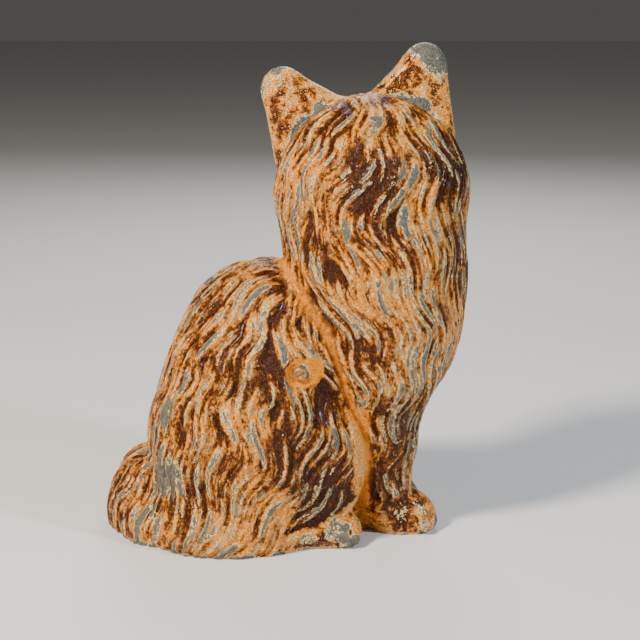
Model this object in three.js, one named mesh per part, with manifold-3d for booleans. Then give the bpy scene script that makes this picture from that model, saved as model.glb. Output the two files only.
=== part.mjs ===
import * as THREE from 'three';
import { mergeVertices } from 'three/addons/utils/BufferGeometryUtils.js';
import Module from 'manifold-3d';

// A hollow cast-iron doorstop: a long-haired cat sitting with its head turned to the side.
// It is cast as two halves that meet on one upright plane and are held by a single screw.
// +X is the way the body faces, +Y the way the head faces, and Z is up from the floor.

// Driving sizes, in millimetres
const FIGURE_HEIGHT = 216;
const SEAM_GAP = 0.3;

// The joining screw
const SCREW_HEAD_DIAMETER = 5.8;
const SCREW_HEAD_HEIGHT = 2;
const SCREW_SHANK_DIAMETER = 4;
const SCREW_LENGTH = 58;
const SCREW_POINT = 1.2;
const SLOT_WIDTH = 0.9;
const SLOT_DEPTH = 1;
const SLOT_ANGLE = 30;
const SCREW_CLEARANCE = 0.3;
const BORE_END_SPACE = 2;

// The flat recess that the screw head sits in
const RECESS_LENGTH = 15;
const RECESS_HEIGHT = 10.5;
const RECESS_DEPTH = 1.6;
const RECESS_RIM = 1.9;

// The carved fur
const LOCK_LENGTH = 44;
const LOCK_WIDTH = 12;
const LOCK_DEPTH = 2.7;
const LOCK_PROUD = 0.9;
const SPACING_ALONG = 27;
const SPACING_ACROSS = 8;
const WAVE_LENGTH = 30;
const WAVE_ANGLE = 22;

// How fine the solid is
const SURFACE_STEP = 2.2;
const TRIANGLES = 8550;
const LOCK_STATIONS = 14;
const EASING_PASSES = 3;
const CUT_CLEARANCE = 0.12;

// The figure is drawn this many units high, and its forms are given in those units
const DRAWN_HEIGHT = 217.6;
const UNIT = FIGURE_HEIGHT / DRAWN_HEIGHT;
const inMillimetres = (values) => values.map((value) => value * UNIT);

// Forms: each is a function of a point that gives its distance, which is negative inside

const lengthOf = (x, y, z) => Math.sqrt(x * x + y * y + z * z);

// The two coordinates of a point in a frame turned by some degrees
function turned(degrees) {
	const angle = THREE.MathUtils.degToRad(degrees);
	const cos = Math.cos(angle);
	const sin = Math.sin(angle);
	return [(u, v) => cos * u + sin * v, (u, v) => cos * v - sin * u];
}

// An ellipsoid whose front end is lifted by tilt degrees
function ellipsoid(centre, radii, tilt = 0) {
	const [cx, cy, cz] = inMillimetres(centre);
	const [rx, ry, rz] = inMillimetres(radii);
	const [along, up] = turned(tilt);
	return (x, y, z) => {
		const ax = along(x - cx, z - cz) / rx;
		const ay = (y - cy) / ry;
		const az = up(x - cx, z - cz) / rz;
		const size = lengthOf(ax, ay, az);
		const slope = lengthOf(ax / rx, ay / ry, az / rz);
		return (size * (size - 1)) / Math.max(slope, 1e-6);
	};
}

// A limb from one ball to another
function limb(start, startRadius, end, endRadius) {
	const [ax, ay, az] = inMillimetres(start);
	const [bx, by, bz] = inMillimetres(end);
	const [ra, rb] = inMillimetres([startRadius, endRadius]);
	const [dx, dy, dz] = [bx - ax, by - ay, bz - az];
	const lengthSquared = dx * dx + dy * dy + dz * dz;
	return (x, y, z) => {
		const px = x - ax;
		const py = y - ay;
		const pz = z - az;
		const share = THREE.MathUtils.clamp((px * dx + py * dy + pz * dz) / lengthSquared, 0, 1);
		return lengthOf(px - share * dx, py - share * dy, pz - share * dz) - ra - share * (rb - ra);
	};
}

function smoothMin(a, b, blend) {
	const h = Math.max(blend - Math.abs(a - b), 0) / blend;
	return Math.min(a, b) - (h * h * blend) / 4;
}

// Forms joined one after another, each with a fillet
function join(fillet, ...forms) {
	const blend = fillet * UNIT;
	return (x, y, z) => forms.reduce((distance, form) => smoothMin(distance, form(x, y, z), blend), 1e3);
}

function carve(edge, form, hollow) {
	const blend = edge * UNIT;
	return (x, y, z) => -smoothMin(-form(x, y, z), hollow(x, y, z), blend);
}

const onBothSides = (form) => (x, y, z) => form(x, Math.abs(y), z);

// The cat

function body() {
	const back = ellipsoid([-11.5, 0, 77], [40, 38.5, 46]);
	const rump = ellipsoid([-25.5, 0, 38], [39.5, 43.5, 54]);
	const haunch = ellipsoid([-15, 18, 44], [41, 30, 52], -6);
	const skirt = ellipsoid([-26, 17, 8], [42, 33, 26]);
	const thigh = ellipsoid([5, 25, 38], [28, 19, 34], 10);
	const belly = ellipsoid([28, 0, 22], [14, 17, 40]);
	const sides = join(10, join(12, join(14, back, rump), onBothSides(haunch)), onBothSides(skirt));
	return join(6, sides, onBothSides(thigh), belly);
}

function hindPaw() {
	const foot = limb([0, 31, 7], 9, [22, 29, 6], 9.5);
	const toes = [-4.5, 0.2, 4.8].map((off) => limb([19, 29 + off, 5], 4.2, [27, 29.5 + off * 1.15, 4], 3.6));
	return onBothSides(join(1.5, foot, ...toes));
}

function chest() {
	const ruff = ellipsoid([37.5, 0, 124], [40.5, 38.5, 50]);
	const breast = ellipsoid([44.5, 0, 96], [32, 33, 40]);
	const shoulder = ellipsoid([42.5, 18, 86], [22, 18, 36]);
	return join(8, join(10, ruff, breast), onBothSides(shoulder));
}

function foreleg(side, pawPlace) {
	const middle = 11 * side;
	const leg = limb([42.5, middle, 62], 15.5, [42, middle, 14], 11);
	const paw = ellipsoid([pawPlace, middle, 6], [15, 10.5, 13]);
	const toes = [-6, -2, 2, 6].map((off) => {
		const knuckle = [pawPlace + 4, middle + off, 7];
		const tip = [pawPlace + 12 - 0.12 * off * off, middle + off * 1.2, 4.5];
		return limb(knuckle, 4.6, tip, 4);
	});
	return join(1.2, join(6, leg, paw), ...toes);
}

// The head is drawn upright about its own middle, facing +Y, and then tilted
const HEAD_MIDDLE = inMillimetres([35.4, 1, 157]);
const HEAD_TILT = 9.5;

function onHead(form) {
	const [along, up] = turned(HEAD_TILT);
	const [hx, hy, hz] = HEAD_MIDDLE;
	return (x, y, z) => form(along(x - hx, z - hz), y - hy, up(x - hx, z - hz));
}

const leftAndRight = (form) => (x, y, z) => form(Math.abs(x), y, z);

function skull() {
	const dome = ellipsoid([0, 0, 0], [39.3, 36, 39]);
	const cheek = leftAndRight(ellipsoid([21.5, 4, -5], [20.5, 28, 27]));
	return join(8, dome, cheek);
}

function face() {
	const eye = leftAndRight(ellipsoid([15.5, 29.5, 3.5], [6.6, 5.6, 6]));
	const bridge = limb([0, 31, 8], 7, [0, 37, -4], 5.5);
	const pad = leftAndRight(ellipsoid([7, 35, -13], [9.5, 9.5, 8]));
	const chin = ellipsoid([0, 34, -22], [8.5, 8, 6.5]);
	const nose = ellipsoid([0, 42, -6.5], [4.6, 4, 3.6]);
	return join(1.2, eye, join(2.2, join(5, bridge, pad), chin), nose);
}

function head() {
	const brow = leftAndRight(ellipsoid([15, 28, 13], [11, 8, 6]));
	const socket = leftAndRight(ellipsoid([15.5, 37, 3.5], [8.5, 6.5, 6.8]));
	return join(2, carve(4, join(6, skull(), brow), socket), face());
}

function ears() {
	const outerEdge = limb([32.5, 9, 17], 8, [32, 11, 46.5], 8.5);
	const innerEdge = limb([11, 9, 32], 8, [31, 11, 46.5], 8.5);
	const web = limb([24, 9, 24], 11, [31, 11, 44.5], 8.5);
	const blade = join(4, outerEdge, innerEdge, web);
	const flattened = (x, y, z) => blade(x, y * 1.5, z);
	const hollow = ellipsoid([27.5, 17.5, 37], [8.5, 9, 15], -18);
	return leftAndRight(carve(3, flattened, hollow));
}

// The tail curls round the far side, from the rump to beside the hind paw
function tail() {
	const path = [[-50, -8, 20], [-62.5, -4, 13], [-65, 26, 12], [-44, 46, 11], [-12, 55, 10], [18, 50, 8]];
	const thickness = [18.5, 18.5, 16.5, 14.5, 12.5, 9];
	const lengths = path.slice(1).map((end, i) => limb(path[i], thickness[i], end, thickness[i + 1]));
	const corner = limb([-60, -19, 2], 15, [-67, -1, 2], 17);
	return join(8, ...lengths, corner);
}

const BODY = body();
const CHEST = join(8, chest(), join(4, foreleg(-1, 51), foreleg(1, 45)));
const HIND_PAW = hindPaw();
const FORE_PAWS = onBothSides(ellipsoid([48, 11, 6], [18, 11, 14]));
const HEAD = onHead(head());
const FACE = onHead(face());
const EARS = onHead(ears());
const HEAD_AND_EARS = join(3, HEAD, EARS);

const CAT = join(7, join(4, join(3, join(4, BODY, tail()), HIND_PAW), CHEST), HEAD_AND_EARS);

// A box that holds all of the cat
const REACH = new THREE.Box3(
	new THREE.Vector3(...inMillimetres([-98, -62, -6])),
	new THREE.Vector3(...inMillimetres([94, 80, 226]))
);

// The direction of steepest rise of a form at a point
function outward(form, point) {
	const reach = 0.05;
	const { x, y, z } = point;
	return new THREE.Vector3(
		form(x + reach, y, z) - form(x - reach, y, z),
		form(x, y + reach, z) - form(x, y - reach, z),
		form(x, y, z + reach) - form(x, y, z - reach)
	).normalize();
}

function ontoSurface(form, point) {
	for (let i = 0; i < 3; i++) point.addScaledVector(outward(form, point), -form(point.x, point.y, point.z));
	return point;
}

// The lie of the fur: at each place, the way that the hair runs
const BODY_FLOW = [
	{ at: [-15, 15, 120], way: [-1, 0.3, -0.35] },
	{ at: [-38, 20, 100], way: [-0.5, 0.1, -1] },
	{ at: [-12, 38, 98], way: [-0.35, 0.1, -1] },
	{ at: [12, 36, 95], way: [0.45, 0, -1] },
	{ at: [-45, 35, 65], way: [-0.2, 0, -1] },
	{ at: [-15, 45, 60], way: [0.15, 0, -1] },
	{ at: [12, 42, 62], way: [-0.35, 0, -1] },
	{ at: [8, 42, 32], way: [-0.9, 0, -1] },
	{ at: [-20, 48, 12], way: [-0.8, 0, -1] },
	{ at: [-50, 35, 15], way: [0.1, 0, -1] },
	{ at: [10, 25, 130], way: [0.8, 0, -1] },
	{ at: [35, 38, 122], way: [0.6, 0, -1] },
	{ at: [55, 25, 105], way: [0.45, 0, -1] },
	{ at: [74, 8, 88], way: [-0.1, 0, -1] },
	{ at: [50, 25, 80], way: [-0.25, 0, -1] },
	{ at: [46, 22, 50], way: [-0.05, 0, -1] },
];

const HEAD_FLOW = [
	{ at: [40, 5, 197], way: [0, -1, -0.1] },
	{ at: [22, -28, 182], way: [-0.35, -0.3, -1] },
	{ at: [55, -26, 182], way: [0.35, -0.3, -1] },
	{ at: [5, -25, 160], way: [-0.3, 0, -1] },
	{ at: [35, -38, 160], way: [0, 0, -1] },
	{ at: [68, -22, 155], way: [0.15, 0, -1] },
	{ at: [-3, 0, 145], way: [0.1, 0, -1] },
	{ at: [72, -10, 118], way: [0.15, 0, -1] },
	{ at: [36, 34, 182], way: [0, -0.5, 1] },
	{ at: [8, 28, 150], way: [-0.8, -0.3, -0.6] },
	{ at: [66, 28, 148], way: [0.8, -0.3, -0.6] },
	{ at: [37, 40, 122], way: [0, 0.1, -1] },
];

const TAIL_FLOW = [
	{ at: [-75, 0, 22], way: [-0.5, 0, -1] },
	{ at: [-66, 40, 14], way: [0.5, 0.9, -0.3] },
	{ at: [-35, 60, 12], way: [1, 0.3, -0.15] },
	{ at: [5, 62, 10], way: [1, -0.2, -0.1] },
];

// Whorls of the near side, each of a short reach
const NEAR_WHORLS = [
	{ at: [32, -26, 182], way: [-0.1, -0.3, -1] },
	{ at: [33, -30, 176], way: [-0.5, -0.1, -1] },
	{ at: [29, -33, 168], way: [-1, 0, -0.7] },
	{ at: [20, -31, 165], way: [-1, 0, -0.6] },
	{ at: [14, -29, 157], way: [-0.2, 0, -1] },
	{ at: [16, -22, 180], way: [-0.6, -0.3, -1] },
	{ at: [5, -23, 161], way: [-0.3, 0, -1] },
	{ at: [44, -27, 180], way: [0.5, -0.3, -1] },
	{ at: [48, -31, 168], way: [0, 0, -1] },
	{ at: [46, -33, 159], way: [-0.5, 0, -1] },
	{ at: [59, -22, 176], way: [0.7, -0.2, -1] },
	{ at: [62, -24, 167], way: [0, 0, -1] },
	{ at: [61, -26, 160], way: [-0.5, 0, -1] },
	{ at: [-11, -23, 114], way: [-1, -0.2, -0.6] },
	{ at: [-22, -25, 110], way: [-1, -0.1, -0.9] },
	{ at: [-30, -27, 101], way: [-0.2, 0, -1] },
	{ at: [-12, -36, 95], way: [-0.3, 0, -1] },
	{ at: [0, -30, 103], way: [0, 0, -1] },
	{ at: [10, -28, 97], way: [0.6, 0, -1] },
	{ at: [21, -27, 84], way: [0.6, 0, -1] },
];

const FLOW_REACH = 15 * UNIT;
const WHORL_REACH = 9 * UNIT;
const WHORL_WEIGHT = 3;

function mirroredFlow({ at, way }) {
	return { at: [at[0], -at[1], at[2]], way: [way[0], -way[1], way[2]] };
}

function guide({ at, way }, reach, weight) {
	return {
		at: new THREE.Vector3(...inMillimetres(at)),
		way: new THREE.Vector3(...way).normalize(),
		reach,
		weight,
	};
}

const WIDE_FLOW = [...BODY_FLOW, ...BODY_FLOW.map(mirroredFlow), ...HEAD_FLOW, ...TAIL_FLOW];
const FLOW = [
	...WIDE_FLOW.map((flow) => guide(flow, FLOW_REACH, 1)),
	...NEAR_WHORLS.map((flow) => guide(flow, WHORL_REACH, WHORL_WEIGHT)),
];

// How far round its swing the hair is at a point, put out of step from place to place
function wavePhase({ x, y, z }) {
	const turns = (2 * Math.PI * (z + 0.4 * x)) / WAVE_LENGTH;
	const alongBody = Math.sin(x / (0.47 * WAVE_LENGTH));
	const acrossBody = Math.sin(y / (0.37 * WAVE_LENGTH) + z / (0.77 * WAVE_LENGTH));
	return turns + 1.6 * alongBody + 1.3 * acrossBody;
}

// The way the hair runs at a point of the skin, swung to and fro so that it lies in waves
function hairWay(point, normal) {
	const way = new THREE.Vector3();
	for (const { at, way: led, reach, weight } of FLOW) {
		const nearness = Math.exp(-at.distanceToSquared(point) / (2 * reach ** 2));
		way.addScaledVector(led, weight * nearness + 1e-9);
	}
	way.projectOnPlane(normal).normalize();
	return way.applyAxisAngle(normal, THREE.MathUtils.degToRad(WAVE_ANGLE) * Math.sin(wavePhase(point)));
}

// Ears, paws, face and the deep folds between the limbs are left smooth, and the crown nearly so
function furShare(point) {
	const at = [point.x, point.y, point.z];
	const fadeFrom = (distance, bare, full) => THREE.MathUtils.smoothstep(distance, bare * UNIT, full * UNIT);
	const fold = Math.max(BODY(...at), CHEST(...at));
	const ears = fadeFrom(EARS(...at), 0.5, 5);
	const paws = fadeFrom(Math.min(HIND_PAW(...at), FORE_PAWS(...at)), 0.5, 5);
	const besideSeam = 1 - fadeFrom(Math.abs(point.y), 3, 11);
	const crown = 1 - 0.75 * besideSeam * fadeFrom(point.z, 176, 186);
	return Math.min(ears, paws, crown, fadeFrom(FACE(...at), 1, 6), fadeFrom(fold, 0.5, 5));
}

// Whether a lock's root is far enough from another's, which takes more room along the hair than across it
function standsClear(root, way, other) {
	const apart = other.clone().sub(root);
	const along = apart.dot(way);
	const across = apart.addScaledVector(way, -along).length();
	return (along / SPACING_ALONG) ** 2 + (across / SPACING_ACROSS) ** 2 > 1;
}

// Roots of the locks: a staggered lattice brought onto the skin and thinned to an even spacing
function lockRoots() {
	const roots = [];
	const step = (3 * SPACING_ACROSS) / 4;
	const size = REACH.getSize(new THREE.Vector3());
	for (let k = 0; k * step < size.z; k++) {
		for (let i = 0; i * step < size.x; i++) {
			for (let j = 0; j * step < size.y; j++) {
				const stagger = (k % 2) / 2;
				const offset = new THREE.Vector3((i + stagger) * step, (j + stagger) * step, k * step);
				const root = offset.add(REACH.min);
				if (Math.abs(CAT(root.x, root.y, root.z)) > step * 0.6) continue;
				ontoSurface(CAT, root);
				const way = hairWay(root, outward(CAT, root));
				if (roots.every((other) => standsClear(root, way, other))) roots.push(root);
			}
		}
	}
	return roots;
}

// The stations of one lock from its root to its tip, each with the directions along and across it
function lockStations(root) {
	const stations = [];
	const point = root.clone();
	for (let i = 0; i <= LOCK_STATIONS; i++) {
		const normal = outward(CAT, point);
		const along = hairWay(point, normal);
		const across = new THREE.Vector3().crossVectors(normal, along);
		stations.push({ point: point.clone(), along, across, share: i / LOCK_STATIONS });
		point.addScaledVector(along, LOCK_LENGTH / LOCK_STATIONS);
		ontoSurface(CAT, point);
	}
	return stations;
}

// The height of a lock at a share of its length and at side, from -1 at one edge to 1 at the other
function lockHeight(share, side) {
	const rise = THREE.MathUtils.smoothstep(share, 0, 0.5);
	const tip = 1 - THREE.MathUtils.smoothstep(share, 0.8, 1.02);
	return rise * tip * LOCK_DEPTH * (1 - side * side);
}

function lockHalfWidth(share) {
	const swell = THREE.MathUtils.smoothstep(share, -0.3, 0.4);
	const taper = 1 - THREE.MathUtils.smoothstep(share, 0.45, 1.1);
	return (LOCK_WIDTH / 2) * swell * Math.max(taper, 0.05);
}

// Each height becomes the mean of those on the faces around it
function easeHeights(height, index) {
	const sum = new Float32Array(height.length);
	const count = new Float32Array(height.length);
	for (let f = 0; f < index.length; f += 3) {
		const mean = (height[index[f]] + height[index[f + 1]] + height[index[f + 2]]) / 3;
		for (let side = 0; side < 3; side++) {
			sum[index[f + side]] += mean;
			count[index[f + side]]++;
		}
	}
	return sum.map((value, i) => value / count[i]);
}

// Raises the skin's vertices into locks, each lock lapping over the roots of the next
function carveFur(geometry) {
	const position = geometry.attributes.position;
	const normal = geometry.attributes.normal;
	const cell = LOCK_WIDTH / 2;
	const cells = new Map();
	const point = new THREE.Vector3();
	const cellOf = (value) => Math.floor(value / cell);
	const key = (x, y, z) => (x * 4096 + y) * 4096 + z;
	for (let i = 0; i < position.count; i++) {
		point.fromBufferAttribute(position, i);
		const place = key(cellOf(point.x), cellOf(point.y), cellOf(point.z));
		if (!cells.has(place)) cells.set(place, []);
		cells.get(place).push(i);
	}
	const height = new Float32Array(position.count);
	const overlap = 1.2;
	const stationReach = (overlap * LOCK_LENGTH) / LOCK_STATIONS / 2;
	const raise = (station, i) => {
		point.fromBufferAttribute(position, i).sub(station.point);
		const ahead = point.dot(station.along);
		if (Math.abs(ahead) > stationReach || point.length() > LOCK_WIDTH) return;
		const share = station.share + ahead / LOCK_LENGTH;
		const side = point.dot(station.across) / lockHalfWidth(share);
		if (Math.abs(side) < 1) height[i] = Math.max(height[i], lockHeight(share, side));
	};
	const neighbours = [-1, 0, 1];
	for (const root of lockRoots()) {
		for (const station of lockStations(root)) {
			const [cx, cy, cz] = station.point.toArray().map(cellOf);
			for (const dx of neighbours) {
				for (const dy of neighbours) {
					for (const dz of neighbours) {
						for (const i of cells.get(key(cx + dx, cy + dy, cz + dz)) ?? []) raise(station, i);
					}
				}
			}
		}
	}
	let eased = height;
	for (let pass = 0; pass < EASING_PASSES; pass++) eased = easeHeights(eased, geometry.index.array);
	const push = new THREE.Vector3();
	for (let i = 0; i < position.count; i++) {
		point.fromBufferAttribute(position, i);
		const rise = furShare(point) * (eased[i] + LOCK_PROUD - LOCK_DEPTH);
		point.addScaledVector(push.fromBufferAttribute(normal, i), rise);
		position.setXYZ(i, point.x, point.y, point.z);
	}
}

// A closed mesh of a form's surface, from a grid whose cubes are each split into six tetrahedra
const CUBE_TETRAHEDRA = [[0, 1, 3, 7], [0, 1, 5, 7], [0, 2, 3, 7], [0, 2, 6, 7], [0, 4, 5, 7], [0, 4, 6, 7]];

function sampleForm(form, box, step) {
	const counts = box.getSize(new THREE.Vector3()).toArray().map((size) => Math.ceil(size / step) + 1);
	const [nx, ny, nz] = counts;
	const values = new Float32Array(nx * ny * nz);
	const block = 4;
	const skip = block * step * 1.5;
	for (let k0 = 0; k0 < nz; k0 += block) {
		for (let j0 = 0; j0 < ny; j0 += block) {
			for (let i0 = 0; i0 < nx; i0 += block) {
				const at = (i, j, k) => form(box.min.x + i * step, box.min.y + j * step, box.min.z + k * step);
				const middle = at(i0 + block / 2, j0 + block / 2, k0 + block / 2);
				for (let k = k0; k < Math.min(k0 + block, nz); k++) {
					for (let j = j0; j < Math.min(j0 + block, ny); j++) {
						for (let i = i0; i < Math.min(i0 + block, nx); i++) {
							values[(k * ny + j) * nx + i] = Math.abs(middle) > skip ? middle : at(i, j, k) || 1e-6;
						}
					}
				}
			}
		}
	}
	return { values, nx, ny, nz };
}

function surfaceOf(form, box, step) {
	const { values, nx, ny, nz } = sampleForm(form, box, step);
	const margin = 0.08;
	const corner = [0, 1, 2, 3, 4, 5, 6, 7].map((c) => (c & 1) + ((c >> 1) & 1) * nx + (c >> 2) * nx * ny);
	const positions = [];
	const faces = [];
	const crossings = new Map();
	const place = (index) => {
		const row = Math.floor(index / nx);
		return new THREE.Vector3(index % nx, row % ny, Math.floor(row / ny));
	};
	const crossing = (a, b) => {
		const name = a < b ? a * values.length + b : b * values.length + a;
		if (!crossings.has(name)) {
			const share = THREE.MathUtils.clamp(values[a] / (values[a] - values[b]), margin, 1 - margin);
			crossings.set(name, positions.length / 3);
			positions.push(...place(a).lerp(place(b), share).multiplyScalar(step).add(box.min));
		}
		return crossings.get(name);
	};
	const pointAt = (i) => new THREE.Vector3().fromArray(positions, 3 * i);
	const addFace = (a, b, c, inside, outside) => {
		const normal = pointAt(b).sub(pointAt(a)).cross(pointAt(c).sub(pointAt(a)));
		const facesOut = normal.dot(place(outside).sub(place(inside))) > 0;
		faces.push(a, facesOut ? b : c, facesOut ? c : b);
	};
	const splitTetrahedron = (corners) => {
		const inside = corners.filter((c) => values[c] < 0);
		const outside = corners.filter((c) => values[c] >= 0);
		if (inside.length === 0 || outside.length === 0) return;
		const [a, b] = inside;
		const [p, q] = outside;
		if (inside.length === 2) {
			const ring = [crossing(a, p), crossing(a, q), crossing(b, q), crossing(b, p)];
			addFace(ring[0], ring[1], ring[2], a, p);
			addFace(ring[0], ring[2], ring[3], a, p);
		} else if (inside.length === 1) {
			addFace(...outside.map((c) => crossing(a, c)), a, p);
		} else {
			addFace(...inside.map((c) => crossing(c, p)), a, p);
		}
	};
	for (let k = 0; k < nz - 1; k++) {
		for (let j = 0; j < ny - 1; j++) {
			for (let i = 0; i < nx - 1; i++) {
				const base = (k * ny + j) * nx + i;
				const inside = corner.filter((c) => values[base + c] < 0).length;
				if (inside === 0 || inside === 8) continue;
				for (const split of CUBE_TETRAHEDRA) splitTetrahedron(split.map((c) => base + corner[c]));
			}
		}
	}
	const geometry = new THREE.BufferGeometry();
	geometry.setAttribute('position', new THREE.Float32BufferAttribute(positions, 3));
	geometry.setIndex(faces);
	geometry.computeVertexNormals();
	return geometry;
}

// A queue that gives back its cheapest item first
class Queue {
	items = [];

	push(item) {
		const { items } = this;
		let place = items.length;
		while (place > 0) {
			const parent = (place - 1) >> 1;
			if (items[parent].cost <= item.cost) break;
			items[place] = items[parent];
			place = parent;
		}
		items[place] = item;
	}

	pop() {
		const { items } = this;
		const first = items[0];
		const last = items.pop();
		let place = 0;
		while (items.length > 0) {
			let child = 2 * place + 1;
			if (child + 1 < items.length && items[child + 1].cost < items[child].cost) child++;
			if (child >= items.length || items[child].cost >= last.cost) break;
			items[place] = items[child];
			place = child;
		}
		if (items.length > 0) items[place] = last;
		return first;
	}
}

// Limits on the joining of edges: planes closer to parallel than FLATNESS have no clear meeting point,
// and no triangle may turn past LEAST_FACING or become thinner than LEAST_SLIMNESS
const FLATNESS = 1e-4;
const LEAST_FACING = 0.5;
const LEAST_SLIMNESS = 0.12;
const EVENNESS = 1e-3;

// The squared distance to a set of planes, as the ten sums of a symmetric matrix
function planeSums({ x, y, z }, offset, weight) {
	const ofX = [x * x, x * y, x * z, x * offset];
	const ofY = [y * y, y * z, y * offset];
	const ofZ = [z * z, z * offset];
	return [...ofX, ...ofY, ...ofZ, offset * offset].map((value) => value * weight);
}

function sumError(sums, { x, y, z }) {
	const [xx, xy, xz, xw, yy, yz, yw, zz, zw, ww] = sums;
	const squares = xx * x * x + yy * y * y + zz * z * z;
	return squares + 2 * (xy * x * y + xz * x * z + yz * y * z + xw * x + yw * y + zw * z) + ww;
}

// The point where the sums are least, or the middle of the edge where they have no clear least
function bestPoint(sums, a, b) {
	const middle = new THREE.Vector3().addVectors(a, b).multiplyScalar(0.5);
	const [xx, xy, xz, xw, yy, yz, yw, zz, zw] = sums;
	const matrix = new THREE.Matrix3().set(xx, xy, xz, xy, yy, yz, xz, yz, zz);
	if (Math.abs(matrix.determinant()) < FLATNESS * (xx + yy + zz) ** 3) return middle;
	const best = new THREE.Vector3(-xw, -yw, -zw).applyMatrix3(matrix.invert());
	return best.distanceTo(middle) < 2 * a.distanceTo(b) ? best : middle;
}

// A triangle's area against its sides: 1 when they are equal, 0 when it is a sliver
function slimness({ a, b, c }) {
	const squares = a.distanceToSquared(b) + b.distanceToSquared(c) + c.distanceToSquared(a);
	const cross = new THREE.Vector3().subVectors(b, a).cross(new THREE.Vector3().subVectors(c, a));
	return (2 * Math.sqrt(3) * cross.length()) / squares;
}

// Joins the ends of edges, least change first, until the closed mesh has only target triangles
function simplify(geometry, target) {
	const index = geometry.index.array;
	const count = geometry.attributes.position.count;
	const pointAt = (_, i) => new THREE.Vector3().fromBufferAttribute(geometry.attributes.position, i);
	const faceAt = (_, f) => [index[3 * f], index[3 * f + 1], index[3 * f + 2]];
	const points = Array.from({ length: count }, pointAt);
	const faces = Array.from({ length: index.length / 3 }, faceAt);
	const facesAt = points.map(() => []);
	const sums = points.map(() => new Float64Array(10));
	const changes = new Int32Array(count);
	const triangle = new THREE.Triangle();
	const normal = new THREE.Vector3();

	faces.forEach((face, f) => {
		triangle.set(...face.map((v) => points[v]));
		triangle.getNormal(normal);
		const planes = planeSums(normal, -normal.dot(triangle.a), triangle.getArea());
		for (const v of face) {
			facesAt[v].push(f);
			planes.forEach((value, i) => (sums[v][i] += value));
		}
	});

	const queue = new Queue();
	const offer = (a, b) => {
		const both = sums[a].map((value, i) => value + sums[b][i]);
		const point = bestPoint(both, points[a], points[b]);
		const cost = sumError(both, point) + EVENNESS * points[a].distanceToSquared(points[b]);
		queue.push({ cost, a, b, both, point, age: changes[a] + changes[b] });
	};
	const neighbours = (v) => new Set(facesAt[v].flatMap((f) => faces[f]).filter((other) => other !== v));

	const turnsOver = (v, gone, point) =>
		facesAt[v].some((f) => {
			const face = faces[f];
			if (face.includes(gone)) return false;
			triangle.set(...face.map((other) => points[other]));
			const before = triangle.getNormal(new THREE.Vector3());
			const slimBefore = slimness(triangle);
			triangle.set(...face.map((other) => (other === v ? point : points[other])));
			if (slimness(triangle) < Math.min(slimBefore, LEAST_SLIMNESS)) return true;
			return triangle.getNormal(normal).dot(before) < LEAST_FACING;
		});

	faces.forEach((face) => {
		for (let side = 0; side < 3; side++) {
			const [a, b] = [face[side], face[(side + 1) % 3]];
			if (a < b) offer(a, b);
		}
	});

	let left = faces.length;
	while (left > target && queue.items.length > 0) {
		const { a, b, both, point, age } = queue.pop();
		if (!facesAt[a] || !facesAt[b] || age !== changes[a] + changes[b]) continue;
		const aroundB = neighbours(b);
		const shared = [...neighbours(a)].filter((v) => aroundB.has(v));
		if (shared.length !== 2 || turnsOver(a, b, point) || turnsOver(b, a, point)) continue;
		for (const f of facesAt[b]) {
			const face = faces[f];
			if (face.includes(a)) {
				for (const v of face) if (v !== b) facesAt[v] = facesAt[v].filter((other) => other !== f);
				faces[f] = null;
				left--;
			} else {
				face[face.indexOf(b)] = a;
				facesAt[a].push(f);
			}
		}
		facesAt[b] = null;
		points[a].copy(point);
		sums[a] = both;
		changes[a]++;
		for (const v of neighbours(a)) offer(a, v);
	}

	const simple = new THREE.BufferGeometry();
	const corners = faces.filter(Boolean).flat();
	const values = corners.flatMap((v) => points[v].toArray());
	simple.setAttribute('position', new THREE.Float32BufferAttribute(values, 3));
	return mergeVertices(simple, 1e-5);
}

// Solids, joined and cut
const wasm = await Module();
wasm.setup();

function solidOf(geometry) {
	const bare = geometry.index ? geometry.toNonIndexed() : geometry.clone();
	for (const name of ['normal', 'uv']) bare.deleteAttribute(name);
	const merged = mergeVertices(bare, 1e-5);
	const vertProperties = merged.attributes.position.array;
	const triVerts = new Uint32Array(merged.index.array);
	return new wasm.Manifold(new wasm.Mesh({ numProp: 3, vertProperties, triVerts }));
}

function geometryOf(solid) {
	const { vertProperties, triVerts } = solid.getMesh();
	const geometry = new THREE.BufferGeometry();
	geometry.setAttribute('position', new THREE.BufferAttribute(vertProperties, 3));
	geometry.setIndex(new THREE.BufferAttribute(triVerts, 1));
	return geometry;
}

// Blocks of all that lies below the floor, and of all on one side of the seam
const BLOCK_SIZE = 2 * FIGURE_HEIGHT;

function blockBelow() {
	const block = new THREE.BoxGeometry(BLOCK_SIZE, BLOCK_SIZE, BLOCK_SIZE);
	return solidOf(block.translate(0, 0, -BLOCK_SIZE / 2));
}

function blockBeyondSeam(side) {
	const block = new THREE.BoxGeometry(BLOCK_SIZE, BLOCK_SIZE, BLOCK_SIZE);
	return solidOf(block.translate(0, (side * (BLOCK_SIZE - SEAM_GAP)) / 2, BLOCK_SIZE / 4));
}

// The screw lies across the figure, its head on the near side, in a recess cut into the haunch
const SCREW_PLACE = new THREE.Vector3(4.4 * UNIT, 0, 80 * UNIT);

// Where the skin of the near side lies at a place, found in short steps from outside
function skinAcross(x, z) {
	const steps = 60;
	const caution = 0.8;
	let y = -FIGURE_HEIGHT / 2;
	for (let i = 0; i < steps; i++) y += Math.max(CAT(x, y, z), 0) * caution;
	return y;
}

const RECESS_FLOOR = skinAcross(SCREW_PLACE.x, SCREW_PLACE.z) + RECESS_DEPTH;
const SCREW_HEAD_PLACE = RECESS_FLOOR - SCREW_CLEARANCE;
const BORE_DIAMETER = SCREW_SHANK_DIAMETER + 2 * SCREW_CLEARANCE;
const SHANK_SIDES = 20;

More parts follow.
